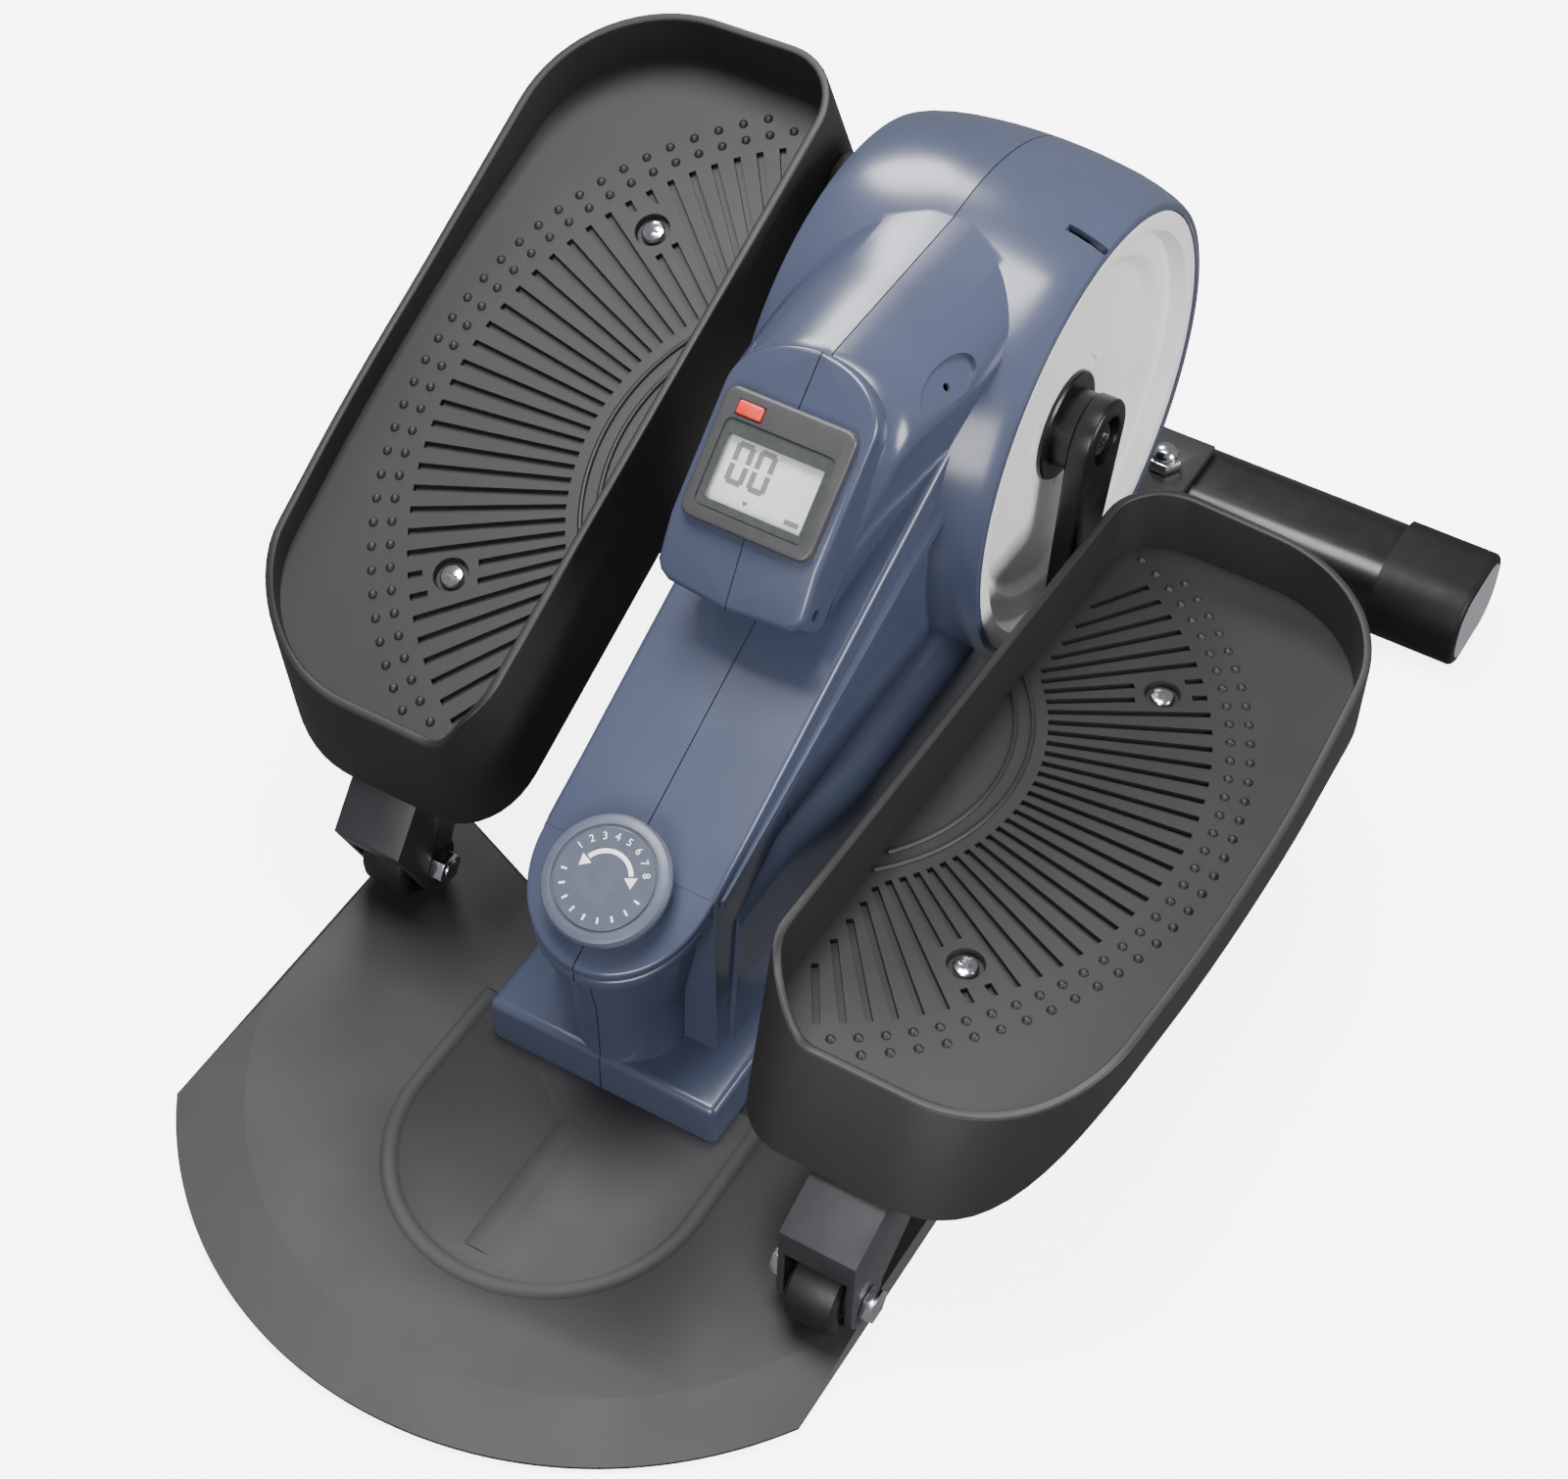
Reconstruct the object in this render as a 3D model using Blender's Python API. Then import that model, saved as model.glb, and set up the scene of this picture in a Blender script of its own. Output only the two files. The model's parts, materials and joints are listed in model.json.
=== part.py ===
"""An under-desk elliptical stepper, built as separate pieces in metres, +Z up, the user at -Y."""
import math

import bmesh
import bpy
from mathutils import Matrix, Vector

MM = 0.001

# Clearance between pieces that touch, and the smooth-shading limit
GAP = 0.3 * MM
SHARP = math.radians(32)

# Base plate and its pads
PLATE_HALF_WIDTH = 143 * MM
PLATE_FRONT_RADIUS = 172.4 * MM
PLATE_ARC_Y = -129.7 * MM
PLATE_REAR_Y = -41 * MM
PLATE_WAIST_X = 85 * MM
PLATE_WAIST_Y = -64 * MM
PLATE_UNDERSIDE = 2.5 * MM
PLATE_EDGE_TOP = 4 * MM
PLATE_TOP = 6 * MM
PLATE_SLOPE_WIDTH = 27 * MM
PLATE_CHAMFER = 2.5 * MM
PAD_LENGTH = 84 * MM
PAD_WIDTH = 20 * MM
PAD_X = 104 * MM
PAD_Y = -150 * MM

# Drum of the body, on the crank axle
AXLE_Y = 150.7 * MM
AXLE_Z = 155.7 * MM
DRUM_RADIUS = 107.5 * MM
DRUM_RIM_RADIUS = 98.4 * MM
DRUM_HALF_WIDTH = 57.4 * MM
DRUM_SHOULDER = 36 * MM
WALL = 3 * MM

# Skirt, neck and nose of the body
SKIRT_HALF_WIDTH = 52.8 * MM
SKIRT_FRONT_Y = -138.2 * MM
SKIRT_TOP = 27 * MM
FLANK_TOP = 106 * MM
BODY_REAR_Y = 215 * MM
NECK_SLOPE = math.radians(27.5)
NECK_HALF_WIDTH = 38 * MM
NECK_ROUND = 9 * MM
NOSE_Y = -114 * MM
NOSE_RADIUS = 37.3 * MM
NOSE_FOOT_RADIUS = 29 * MM
NOSE_SHOULDER_Z = 98 * MM
KNOB_Y = -121.8 * MM
KNOB_Z = 114.7 * MM

# Console pod and hood
CONSOLE_Y = -28 * MM
CONSOLE_Z = 217.5 * MM
CONSOLE_SLOPE = math.radians(42.4)
BEZEL_HALF_WIDTH = 27.7 * MM
BEZEL_LENGTH = 51 * MM
BEZEL_THICK = 4 * MM
BEZEL_CORNER = 5 * MM
POD_MARGIN = 4 * MM
POD_LIP_Y = -40 * MM
POD_LIP_Z = 198 * MM
POD_ROUND = 6 * MM
POD_CREST = 74 * MM
POD_FOOT_DEPTH = 14 * MM
HOOD_HALF_WIDTH = 43 * MM
HOOD_TOP = 260 * MM
HOOD_ROUND = 13 * MM
HOOD_CREST_Y = 28 * MM
HOOD_KNEE_Y = 0 * MM
HOOD_FOOT_Y = -8 * MM
WINDOW_HALF_WIDTH = 20.2 * MM
WINDOW_LOW = 8.8 * MM
WINDOW_HIGH = 33.8 * MM
BUTTON_X = -15.4 * MM
BUTTON_Y = 44 * MM
BUTTON_WIDTH = 10.5 * MM
BUTTON_DEPTH = 5.4 * MM
BUTTON_PROUD = 1.2 * MM
POCKET_DEPTH = 9 * MM
LENS_THICK = 2.4 * MM
LCD_THICK = 2.6 * MM
BOARD_THICK = 1.6 * MM

# Knob and its spindle
KNOB_RADIUS = 25.5 * MM
KNOB_COLLAR_RADIUS = 22 * MM
KNOB_COLLAR_TOP = 3.6 * MM
KNOB_HEIGHT = 13.6 * MM
LABEL_RADIUS = 20 * MM
LABEL_THICK = 0.8 * MM
SPINDLE_RADIUS = 4 * MM
SPINDLE_DEPTH = 30 * MM
SPINDLE_HEAD = 8 * MM
CABLE_DRUM_RADIUS = 9 * MM
CABLE_DRUM_LOW = 26 * MM
CABLE_DRUM_HIGH = 14 * MM
CABLE_RADIUS = 1.5 * MM

# Round side covers
COVER_RADIUS = 95.5 * MM
COVER_FACE_X = 44 * MM
COVER_RIM_X = 56.5 * MM
COVER_STEP_X = 49.5 * MM
COVER_RIM_INNER = 87 * MM
COVER_STEP_OUTER = 85 * MM
COVER_STEP_INNER = 74 * MM
COVER_DISH_RADIUS = 70 * MM
COVER_THICK = 2.5 * MM
COVER_HOLE = 18.5 * MM

# Crank
CRANK_RADIUS = 69.5 * MM
CRANK_LEAN = math.radians(11)
CRANK_HUB_RADIUS = 18 * MM
CRANK_FLANGE_RADIUS = 24 * MM
CRANK_FLANGE_THICK = 2.2 * MM
CRANK_EYE_RADIUS = 13 * MM
CRANK_ARM_INNER_X = 54 * MM
CRANK_OUTER_X = 64 * MM
AXLE_RADIUS = 8.5 * MM
AXLE_HALF_LENGTH = 55 * MM
HUB_BOLT_WELL = 11 * MM
HUB_BOLT_RADIUS = 9 * MM
HUB_BOLT_FACE_X = 62 * MM
BEARING_RADIUS = 17.5 * MM
BEARING_HALF_WIDTH = 5.5 * MM

# Pedal linkage, in a frame at the roller axle: s runs rearward, h upward
ARM_REACH = 322 * MM
TRAY_SET_ANGLE = math.radians(14)
ROLLER_RADIUS = 18 * MM
ROLLER_WIDTH = 22 * MM
ROLLER_BORE = 4.3 * MM
PEDAL_X = 127.6 * MM
TRAY_BEHIND_PIN = 137 * MM
TRAY_OVER_PIN = 11.8 * MM
TRAY_WALL = 3 * MM
TRAY_FLOOR = 5 * MM
TRAY_INNER_X = 71.5 * MM
TRAY_OUTER_X = 197 * MM
TRAY_BELLY_X = 206 * MM
TRAY_FRONT = 150 * MM
TRAY_REAR = 167 * MM
TRAY_CHIN = 16 * MM
TRAY_LEAN = 0.2
TRAY_INNER_ROUND = 28 * MM
TRAY_OUTER_ROUND = 58 * MM
TRAY_BELLY_ROUND = 500 * MM
RIM_INNER_FRONT = 30 * MM
RIM_OUTER_FRONT = 1.5 * MM
RIM_BELLY = 12 * MM
RIM_OUTER_REAR = 25 * MM
RIM_INNER_REAR = 30 * MM
SKIRT_INNER_FRONT = 42 * MM
SKIRT_OUTER_FRONT = 42 * MM
SKIRT_BELLY = 8 * MM
SKIRT_OUTER_REAR = 10 * MM
SKIRT_INNER_REAR = 36 * MM
FRONT_SHARE = 1 / 6
CORNER_DROP = 3.5
TRAY_SCREW_SPAN = 83 * MM
SCREW_WELL_RADIUS = 7 * MM
SCREW_WELL_DEPTH = 3.2 * MM
SCREW_HEAD_RADIUS = 5 * MM
SCREW_HEAD_THICK = 2.6 * MM
SCREW_SHANK = 2.5 * MM
SCREW_LENGTH = 9 * MM
ARM_WIDTH = 34 * MM
ARM_HEIGHT = 20 * MM
ARM_OVERHANG = 11 * MM
STUB_RADIUS = 6.2 * MM
BUSH_RADIUS = 13 * MM
BRACKET_WIDTH = 32 * MM
BRACKET_SHEET = 3 * MM
BRACKET_NOSE = 11.6 * MM
BRACKET_TOE = 34 * MM
BRACKET_LEAN = 7 * MM
BRACKET_REAR = 30 * MM
BRACKET_KNEE = 14 * MM
BRACKET_HEEL = 46 * MM
WEB_LOW = 22 * MM
AXLE_BOLT_RADIUS = 4 * MM
AXLE_BOLT_HEAD = 7.5 * MM
AXLE_BOLT_HEAD_THICK = 4.6 * MM
AXLE_NUT_THICK = 6 * MM

# Frame and stabilizer
SPINE_HALF_WIDTH = 28.7 * MM
SPINE_HEIGHT = 28 * MM
SPINE_FRONT_Y = -108 * MM
STABILIZER_Y = 274 * MM
CAP_DEPTH = 56 * MM
CAP_HEIGHT = 42 * MM
CAP_LENGTH = 42 * MM
CAP_END = 4 * MM
CAP_WALL = 2 * MM
STABILIZER_HALF = 200 * MM
TUBE_WALL = 2.5 * MM
SADDLE_HALF_WIDTH = 62 * MM
SADDLE_THICK = 4 * MM
SADDLE_POST = 11 * MM
NUT_X = 47 * MM
NUT_SETBACK = 11 * MM
NUT_RADIUS = 8 * MM
NUT_HEX_THICK = 6 * MM
NUT_DOME = 6 * MM
BOLT_RADIUS = 4 * MM
SIDE_PLATE_THICK = 4 * MM

# Drive and brake inside the body
FLYWHEEL_Y = 22 * MM
FLYWHEEL_Z = 98 * MM
FLYWHEEL_RADIUS = 52 * MM
FLYWHEEL_LEFT_X = -16 * MM
FLYWHEEL_RIGHT_X = 2 * MM
FLY_AXLE_RADIUS = 6 * MM
FLY_BEARING_RADIUS = 14 * MM
FLY_BEARING_HALF_WIDTH = 4 * MM
DRIVE_RADIUS = 72 * MM
SMALL_RADIUS = 16 * MM
PULLEY_LEFT_X = 8 * MM
PULLEY_RIGHT_X = 20 * MM
PULLEY_FLANGE = 2.5 * MM
PULLEY_LIP = 1.5 * MM
BELT_THICK = 1.8 * MM
BRAKE_INNER = 59 * MM
BRAKE_BAND = 5 * MM
BRAKE_LUG = 11 * MM
MAGNET_THICK = 2.7 * MM
BRAKE_PIN_RADIUS = 3 * MM
BRAKE_PIN_ORBIT = 64.5 * MM
BRAKE_PIN_ANGLE = math.radians(222)
SPRING_WIRE = 0.75 * MM
SPRING_RADIUS = 4.6 * MM
SPRING_PITCH = 2.4 * MM
SPRING_TURNS = 4
SENSOR_SIZE = 16 * MM

# Values worked out from the sizes above
TUBE_DEPTH = CAP_DEPTH - 2 * CAP_WALL
TUBE_HEIGHT = CAP_HEIGHT - 2 * CAP_WALL
STABILIZER_Z = CAP_HEIGHT / 2
TUBE_TOP = STABILIZER_Z + TUBE_HEIGHT / 2
BODY_FOOT = PLATE_TOP + GAP
SPINE_TOP = BODY_FOOT + SPINE_HEIGHT
SADDLE_REAR_Y = STABILIZER_Y + TUBE_DEPTH / 4
SADDLE_FRONT_Y = STABILIZER_Y - TUBE_DEPTH / 2 - GAP - SADDLE_POST
SIDE_PLATE_X = SPINE_HALF_WIDTH + GAP
LINK_X = CRANK_OUTER_X + GAP
ROLLER_Z = PLATE_TOP + GAP + ROLLER_RADIUS
PIN_S = ARM_REACH * math.cos(TRAY_SET_ANGLE)
PIN_H = ARM_REACH * math.sin(TRAY_SET_ANGLE)
TRAY_S = PIN_S - TRAY_BEHIND_PIN
TRAY_H = PIN_H + TRAY_OVER_PIN
ARM_FRONT_S = TRAY_S - TRAY_FRONT + TRAY_WALL
ARM_REAR_S = PIN_S + ARM_OVERHANG
ARM_TOP = TRAY_H - TRAY_FLOOR - GAP
ARM_LOW = ARM_TOP - ARM_HEIGHT
NUT_Y = STABILIZER_Y - NUT_SETBACK
BRAKE_PIN_Y = FLYWHEEL_Y + BRAKE_PIN_ORBIT * math.cos(BRAKE_PIN_ANGLE)
BRAKE_PIN_Z = FLYWHEEL_Z + BRAKE_PIN_ORBIT * math.sin(BRAKE_PIN_ANGLE)

SIDES = (("left", -1), ("right", 1))
TRAY_STEPS = (6, 9, 4, 9, 6)
TRAY_LEGS = 4


# Materials
def material(name, colour, roughness, metallic):
    mat = bpy.data.materials.new(name)
    mat.use_nodes = True
    mat.diffuse_color = (*colour, 1)
    shader = mat.node_tree.nodes["Principled BSDF"]
    shader.inputs["Base Color"].default_value = (*colour, 1)
    shader.inputs["Roughness"].default_value = roughness
    shader.inputs["Metallic"].default_value = metallic
    return mat


# Shape helpers
def finish(bm):
    bmesh.ops.remove_doubles(bm, verts=bm.verts[:], dist=1e-6)
    bmesh.ops.recalc_face_normals(bm, faces=bm.faces[:])
    return bm


def arc(centre, radius, start, end, steps):
    return [(centre[0] + radius * math.cos(start + (end - start) * i / steps),
             centre[1] + radius * math.sin(start + (end - start) * i / steps))
            for i in range(steps + 1)]


def extruded(points, place, direction):
    bm = bmesh.new()
    face = bm.faces.new([bm.verts.new(place(u, v)) for u, v in points])
    made = bmesh.ops.extrude_face_region(bm, geom=[face])["geom"]
    moved = [item for item in made if isinstance(item, bmesh.types.BMVert)]
    bmesh.ops.translate(bm, verts=moved, vec=direction)
    return finish(bm)


def slab_x(points, x_low, x_high):
    return extruded(points, lambda y, z: (x_low, y, z), Vector((x_high - x_low, 0, 0)))


def slab_z(points, z_low, z_high):
    return extruded(points, lambda x, y: (x, y, z_low), Vector((0, 0, z_high - z_low)))


def box(x_low, x_high, y_low, y_high, z_low, z_high):
    return slab_z([(x_low, y_low), (x_high, y_low), (x_high, y_high), (x_low, y_high)], z_low, z_high)


def rounded_slab_x(points, half_width, radius, rounded, steps=3):
    bm = slab_x(points, -half_width, half_width)
    wanted = [Vector(points[i]) for i in rounded]
    edges = []
    for edge in bm.edges:
        a, b = (vert.co for vert in edge.verts)
        on_side = abs(a.x - b.x) < 1e-6
        if on_side and all(min((c.yz - spot).length for spot in wanted) < 1e-6 for c in (a, b)):
            edges.append(edge)
    bmesh.ops.bevel(bm, geom=edges, offset=radius, offset_type="OFFSET", segments=steps, profile=0.5,
                    affect="EDGES", clamp_overlap=True, material=-1)
    return finish(bm)


def turned(profile, axis, centre, steps, ring=True):
    """Spin a profile of (along, radius) points about an axis through a centre."""
    axis = Vector(axis)
    side = Vector((0, 0, 1)) if abs(axis.z) < 0.5 else Vector((1, 0, 0))
    centre = Vector(centre)
    bm = bmesh.new()
    verts = [bm.verts.new(centre + axis * along + side * radius) for along, radius in profile]
    count = len(verts)
    for i in range(count if ring else count - 1):
        bm.edges.new((verts[i], verts[(i + 1) % count]))
    bmesh.ops.spin(bm, geom=bm.verts[:] + bm.edges[:], cent=centre, axis=axis, dvec=(0, 0, 0),
                   angle=2 * math.pi, steps=steps, use_merge=True, use_duplicate=False)
    return finish(bm)


def rod(axis, centre, radius, low, high, steps=16):
    return turned([(low, 0), (low, radius), (high, radius), (high, 0)], axis, centre, steps, False)


def tube(axis, centre, bore, radius, low, high, steps=20):
    return turned([(low, bore), (low, radius), (high, radius), (high, bore)], axis, centre, steps)


def inset(points, distance):
    """Move every edge of a counter-clockwise outline inward by a distance."""
    lines = []
    count = len(points)
    for i in range(count):
        a = Vector(points[i])
        along = (Vector(points[(i + 1) % count]) - a).normalized()
        lines.append((a + Vector((-along.y, along.x)) * distance, along))
    moved = []
    for i in range(count):
        (p, d), (q, e) = lines[i - 1], lines[i]
        t = ((q.x - p.x) * e.y - (q.y - p.y) * e.x) / (d.x * e.y - d.y * e.x)
        moved.append((p.x + d.x * t, p.y + d.y * t))
    return moved


def filleted(corners, radii, steps):
    """Round the corners of a convex counter-clockwise outline with tangent arcs."""
    outline = []
    count = len(corners)
    for i in range(count):
        p, a, b = Vector(corners[i]), Vector(corners[i - 1]), Vector(corners[(i + 1) % count])
        into, out = (p - a).normalized(), (b - p).normalized()
        turn = math.atan2(into.x * out.y - into.y * out.x, into.dot(out))
        reach = radii[i] * math.tan(turn / 2)
        centre = p - into * reach + Vector((-into.y, into.x)) * radii[i]
        start = math.atan2(-into.x, into.y)
        outline += arc(centre, radii[i], start, start + turn, steps[i])
    return outline


def rings(levels):
    """Skin equal rings of points, with a cap on the first and the last."""
    bm = bmesh.new()
    loops = [[bm.verts.new(point) for point in level] for level in levels]
    count = len(loops[0])
    for low, high in zip(loops, loops[1:]):
        for i in range(count):
            j = (i + 1) % count
            bm.faces.new((low[i], low[j], high[j], high[i]))
    bm.faces.new(loops[0][::-1])
    bm.faces.new(loops[-1])
    return finish(bm)


def capsule(a, radius_a, b, radius_b, steps):
    """Outline of two circles joined by their outer tangents."""
    a, b = Vector(a), Vector(b)
    heading = math.atan2(b.y - a.y, b.x - a.x)
    open_angle = math.acos((radius_a - radius_b) / (b - a).length)
    return (arc(b, radius_b, heading - open_angle, heading + open_angle, steps)
            + arc(a, radius_a, heading + open_angle, heading + 2 * math.pi - open_angle, steps))


def hexagon(centre, radius):
    return arc(centre, radius, 0, 2 * math.pi, 6)[:-1]


def shaped(base, steps):
    """Join and cut a solid: steps are (operation, solid) in order."""
    made = []
    for bm in [base] + [solid for _, solid in steps]:
        mesh = bpy.data.meshes.new("work")
        bm.to_mesh(mesh)
        bm.free()
        obj = bpy.data.objects.new("work", mesh)
        bpy.context.collection.objects.link(obj)
        made.append(obj)
    for (operation, _), tool in zip(steps, made[1:]):
        mod = made[0].modifiers.new("join", "BOOLEAN")
        mod.operation = operation
        mod.solver = "EXACT"
        mod.object = tool
    graph = bpy.context.evaluated_depsgraph_get()
    mesh = bpy.data.meshes.new_from_object(made[0].evaluated_get(graph))
    result = bmesh.new()
    result.from_mesh(mesh)
    for obj in made:
        bpy.data.objects.remove(obj, do_unlink=True)
    bmesh.ops.remove_doubles(result, verts=result.verts[:], dist=1e-6)
    bmesh.ops.dissolve_degenerate(result, edges=result.edges[:], dist=1e-6)
    return result


def join(*solids):
    return [("UNION", solid) for solid in solids]


def cut(*solids):
    return [("DIFFERENCE", solid) for solid in solids]


def piece(name, bm, mat, parent=None):
    mesh = bpy.data.meshes.new(name)
    bm.to_mesh(mesh)
    bm.free()
    mesh.materials.append(mat.copy())
    mesh.materials[0].name = name
    mesh.shade_smooth()
    mesh.set_sharp_from_angle(angle=SHARP)
    obj = bpy.data.objects.new(name, mesh)
    obj.parent = parent
    bpy.context.collection.objects.link(obj)
    return obj


def pivot(name, y, z, tilt=0.0, x=0.0, parent=None):
    empty = bpy.data.objects.new(name, None)
    empty.location = (x, y, z)
    empty.rotation_euler = (tilt, 0, 0)
    empty.parent = parent
    bpy.context.collection.objects.link(empty)
    return empty


# Base plate, with a border that slopes down to the front edge, and its pads
def plate_outline(shrink, front_shrink):
    radius = PLATE_FRONT_RADIUS - front_shrink
    half = PLATE_HALF_WIDTH - shrink
    swing = math.asin(half / radius)
    front = arc((0, PLATE_ARC_Y), radius, -math.pi / 2 - swing, -math.pi / 2 + swing, 20)
    rear = [(half, PLATE_REAR_Y - shrink), (PLATE_WAIST_X, PLATE_WAIST_Y - shrink),
            (-PLATE_WAIST_X, PLATE_WAIST_Y - shrink), (-half, PLATE_REAR_Y - shrink)]
    return front + rear


def build_plate(mats):
    edge = plate_outline(0, 0)
    inner = plate_outline(PLATE_CHAMFER, PLATE_SLOPE_WIDTH)
    levels = [[(x, y, z) for x, y in outline] for outline, z in
              ((edge, PLATE_UNDERSIDE), (edge, PLATE_EDGE_TOP), (inner, PLATE_TOP))]
    piece("base_plate", rings(levels), mats["steel_dark"])
    for side, sign in SIDES:
        corners = [(sign * PAD_X + u * PAD_WIDTH / 2, PAD_Y + v * PAD_LENGTH / 2)
                   for u, v in ((-1, -1), (1, -1), (1, 1), (-1, 1))]
        outline = filleted(corners, [PAD_WIDTH * 0.45] * 4, [4] * 4)
        piece("base_pad_" + side, slab_z(outline, 0, PLATE_UNDERSIDE - GAP), mats["rubber"])


# Body shells: skirt and flanks, neck, nose, pod, hood and drum in one hollow moulding
def neck_height(y):
    return KNOB_Z + (y - KNOB_Y) * math.tan(NECK_SLOPE)


def nose_solid(wall):
    top_radius = NOSE_RADIUS - wall
    foot = NOSE_FOOT_RADIUS - wall
    low = SKIRT_TOP - 2 * WALL
    high = KNOB_Z + NECK_HALF_WIDTH
    bm = turned([(low, 0), (low, foot), (NOSE_SHOULDER_Z, top_radius), (high, top_radius), (high, 0)],
                (0, 0, 1), (0, NOSE_Y, 0), 32, False)
    normal = Vector((0, -math.sin(NECK_SLOPE), math.cos(NECK_SLOPE)))
    on_top = Vector((0, KNOB_Y, KNOB_Z)) - normal * (wall + 0.2 * MM)
    made = bmesh.ops.bisect_plane(bm, geom=bm.verts[:] + bm.edges[:] + bm.faces[:], plane_co=on_top,
                                  plane_no=normal, clear_outer=True)["geom_cut"]
    bmesh.ops.edgeloop_fill(bm, edges=[item for item in made if isinstance(item, bmesh.types.BMEdge)])
    return finish(bm)


def neck_solid(wall):
    front = NOSE_Y + 2 * MM
    rear, deep = AXLE_Y - DRUM_RADIUS * 0.7, AXLE_Y - DRUM_RADIUS / 3
    low = SKIRT_TOP - 4 * WALL
    points = [(front, low), (deep, low), (deep, AXLE_Z), (rear, neck_height(rear)), (front, neck_height(front))]
    if wall:
        points = inset(points, wall)
    return rounded_slab_x(points, NECK_HALF_WIDTH - wall, NECK_ROUND - wall, (3, 4))


def flank_solid(wall):
    points = [(SKIRT_FRONT_Y, BODY_FOOT), (BODY_REAR_Y, BODY_FOOT), (BODY_REAR_Y, SKIRT_TOP * 1.5),
              (AXLE_Y, FLANK_TOP), (AXLE_Y - DRUM_RADIUS * 0.9, FLANK_TOP),
              (CONSOLE_Y, FLANK_TOP * 0.85), (SKIRT_FRONT_Y + 48 * MM, SKIRT_TOP), (SKIRT_FRONT_Y, SKIRT_TOP)]
    if wall:
        points = inset(points, wall)
        points[0] = (points[0][0], 0)
        points[1] = (BODY_REAR_Y + WALL, 0)
        points[2] = (BODY_REAR_Y + WALL, points[2][1])
    rounded = range(2, 8) if wall else (0, 7, 6, 5, 4)
    return rounded_slab_x(points, SKIRT_HALF_WIDTH - wall, (POD_ROUND - wall), rounded)


def console_turn():
    return Matrix.Translation((0, CONSOLE_Y, CONSOLE_Z)) @ Matrix.Rotation(CONSOLE_SLOPE, 4, "X")


def pod_solid(wall):
    up = Vector((math.cos(CONSOLE_SLOPE), math.sin(CONSOLE_SLOPE)))
    start = Vector((CONSOLE_Y, CONSOLE_Z))
    low, crest = start - up * MM, start + up * (POD_CREST + POD_ROUND)
    points = [(CONSOLE_Y - 2 * MM, neck_height(CONSOLE_Y) - POD_FOOT_DEPTH), (AXLE_Y - DRUM_RADIUS, AXLE_Z),
              (AXLE_Y - DRUM_RADIUS, HOOD_TOP), tuple(crest), tuple(low), (POD_LIP_Y, POD_LIP_Z)]
    if wall:
        points = inset(points, wall)
    half = BEZEL_HALF_WIDTH + POD_MARGIN - wall
    slab = rounded_slab_x(points, half, POD_ROUND - wall, (0, 3, 4, 5))
    wide, rise = half + MM, POD_CREST - BEZEL_LENGTH - wall
    dome = [(x, BEZEL_LENGTH + y * rise / wide) for x, y in arc((0, 0), wide, 0, math.pi, 16)]
    face = slab_z([(-wide, -HOOD_TOP), (wide, -HOOD_TOP)] + dome, -HOOD_TOP, POD_CREST)
    bmesh.ops.transform(face, matrix=console_turn(), verts=face.verts[:])
    return shaped(slab, [("INTERSECT", face)])


def hood_solid(wall):
    low, rear = neck_height(CONSOLE_Y), AXLE_Y - HOOD_ROUND
    points = [(HOOD_FOOT_Y, low), (rear, low), (rear, HOOD_TOP), (HOOD_CREST_Y, HOOD_TOP),
              (HOOD_KNEE_Y, CONSOLE_Z)]
    if wall:
        points = inset(points, wall)
    return rounded_slab_x(points, HOOD_HALF_WIDTH - wall, HOOD_ROUND - wall, (0, 2, 3, 4))


def drum_solid(wall):
    right = [(0, DRUM_RADIUS), (DRUM_SHOULDER * 0.55, DRUM_RADIUS - 0.8 * MM),
             (DRUM_SHOULDER, DRUM_RADIUS - 2.6 * MM), (DRUM_HALF_WIDTH - 6 * MM, DRUM_RIM_RADIUS + 2.8 * MM)]
    right = [(x, r - wall) for x, r in right]
    if wall:
        mouth = COVER_RADIUS + GAP
        right += [(DRUM_HALF_WIDTH - wall, mouth), (DRUM_HALF_WIDTH + wall, mouth), (DRUM_HALF_WIDTH + wall, 0)]
    else:
        right += [(DRUM_HALF_WIDTH, DRUM_RIM_RADIUS), (DRUM_HALF_WIDTH, 0)]
    left = [(-x, r) for x, r in right[::-1]]
    return turned(left + right[1:], (1, 0, 0), (0, AXLE_Y, AXLE_Z), 56, False)


def build_shells(mats):
    parts = (neck_solid, flank_solid, nose_solid, pod_solid, hood_solid)
    outer = shaped(drum_solid(0), join(*[part(0) for part in parts]))
    inner = shaped(drum_solid(WALL), join(*[part(WALL) for part in parts]))
    body = shaped(outer, cut(inner))
    normal = Vector((0, -math.sin(NECK_SLOPE), math.cos(NECK_SLOPE)))
    reach = DRUM_RADIUS * 4
    for side, sign in SIDES:
        far = sorted((-sign * reach, sign * GAP / 2))
        hole = rod(normal, (0, KNOB_Y, KNOB_Z), SPINDLE_RADIUS + GAP, -SPINDLE_DEPTH / 2, KNOB_HEIGHT)
        pocket = box(-WINDOW_HALF_WIDTH - 2.5 * MM, WINDOW_HALF_WIDTH + 2.5 * MM, WINDOW_LOW - 4 * MM,
                     BEZEL_LENGTH - 3.5 * MM, -POCKET_DEPTH, BEZEL_THICK)
        bmesh.ops.transform(pocket, matrix=console_turn(), verts=pocket.verts[:])
        half = box(far[0], far[1], -reach, reach, -reach, reach)
        piece(side + "_shell", shaped(body.copy(), cut(half, hole, pocket)), mats["shell"])
    body.free()


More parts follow.
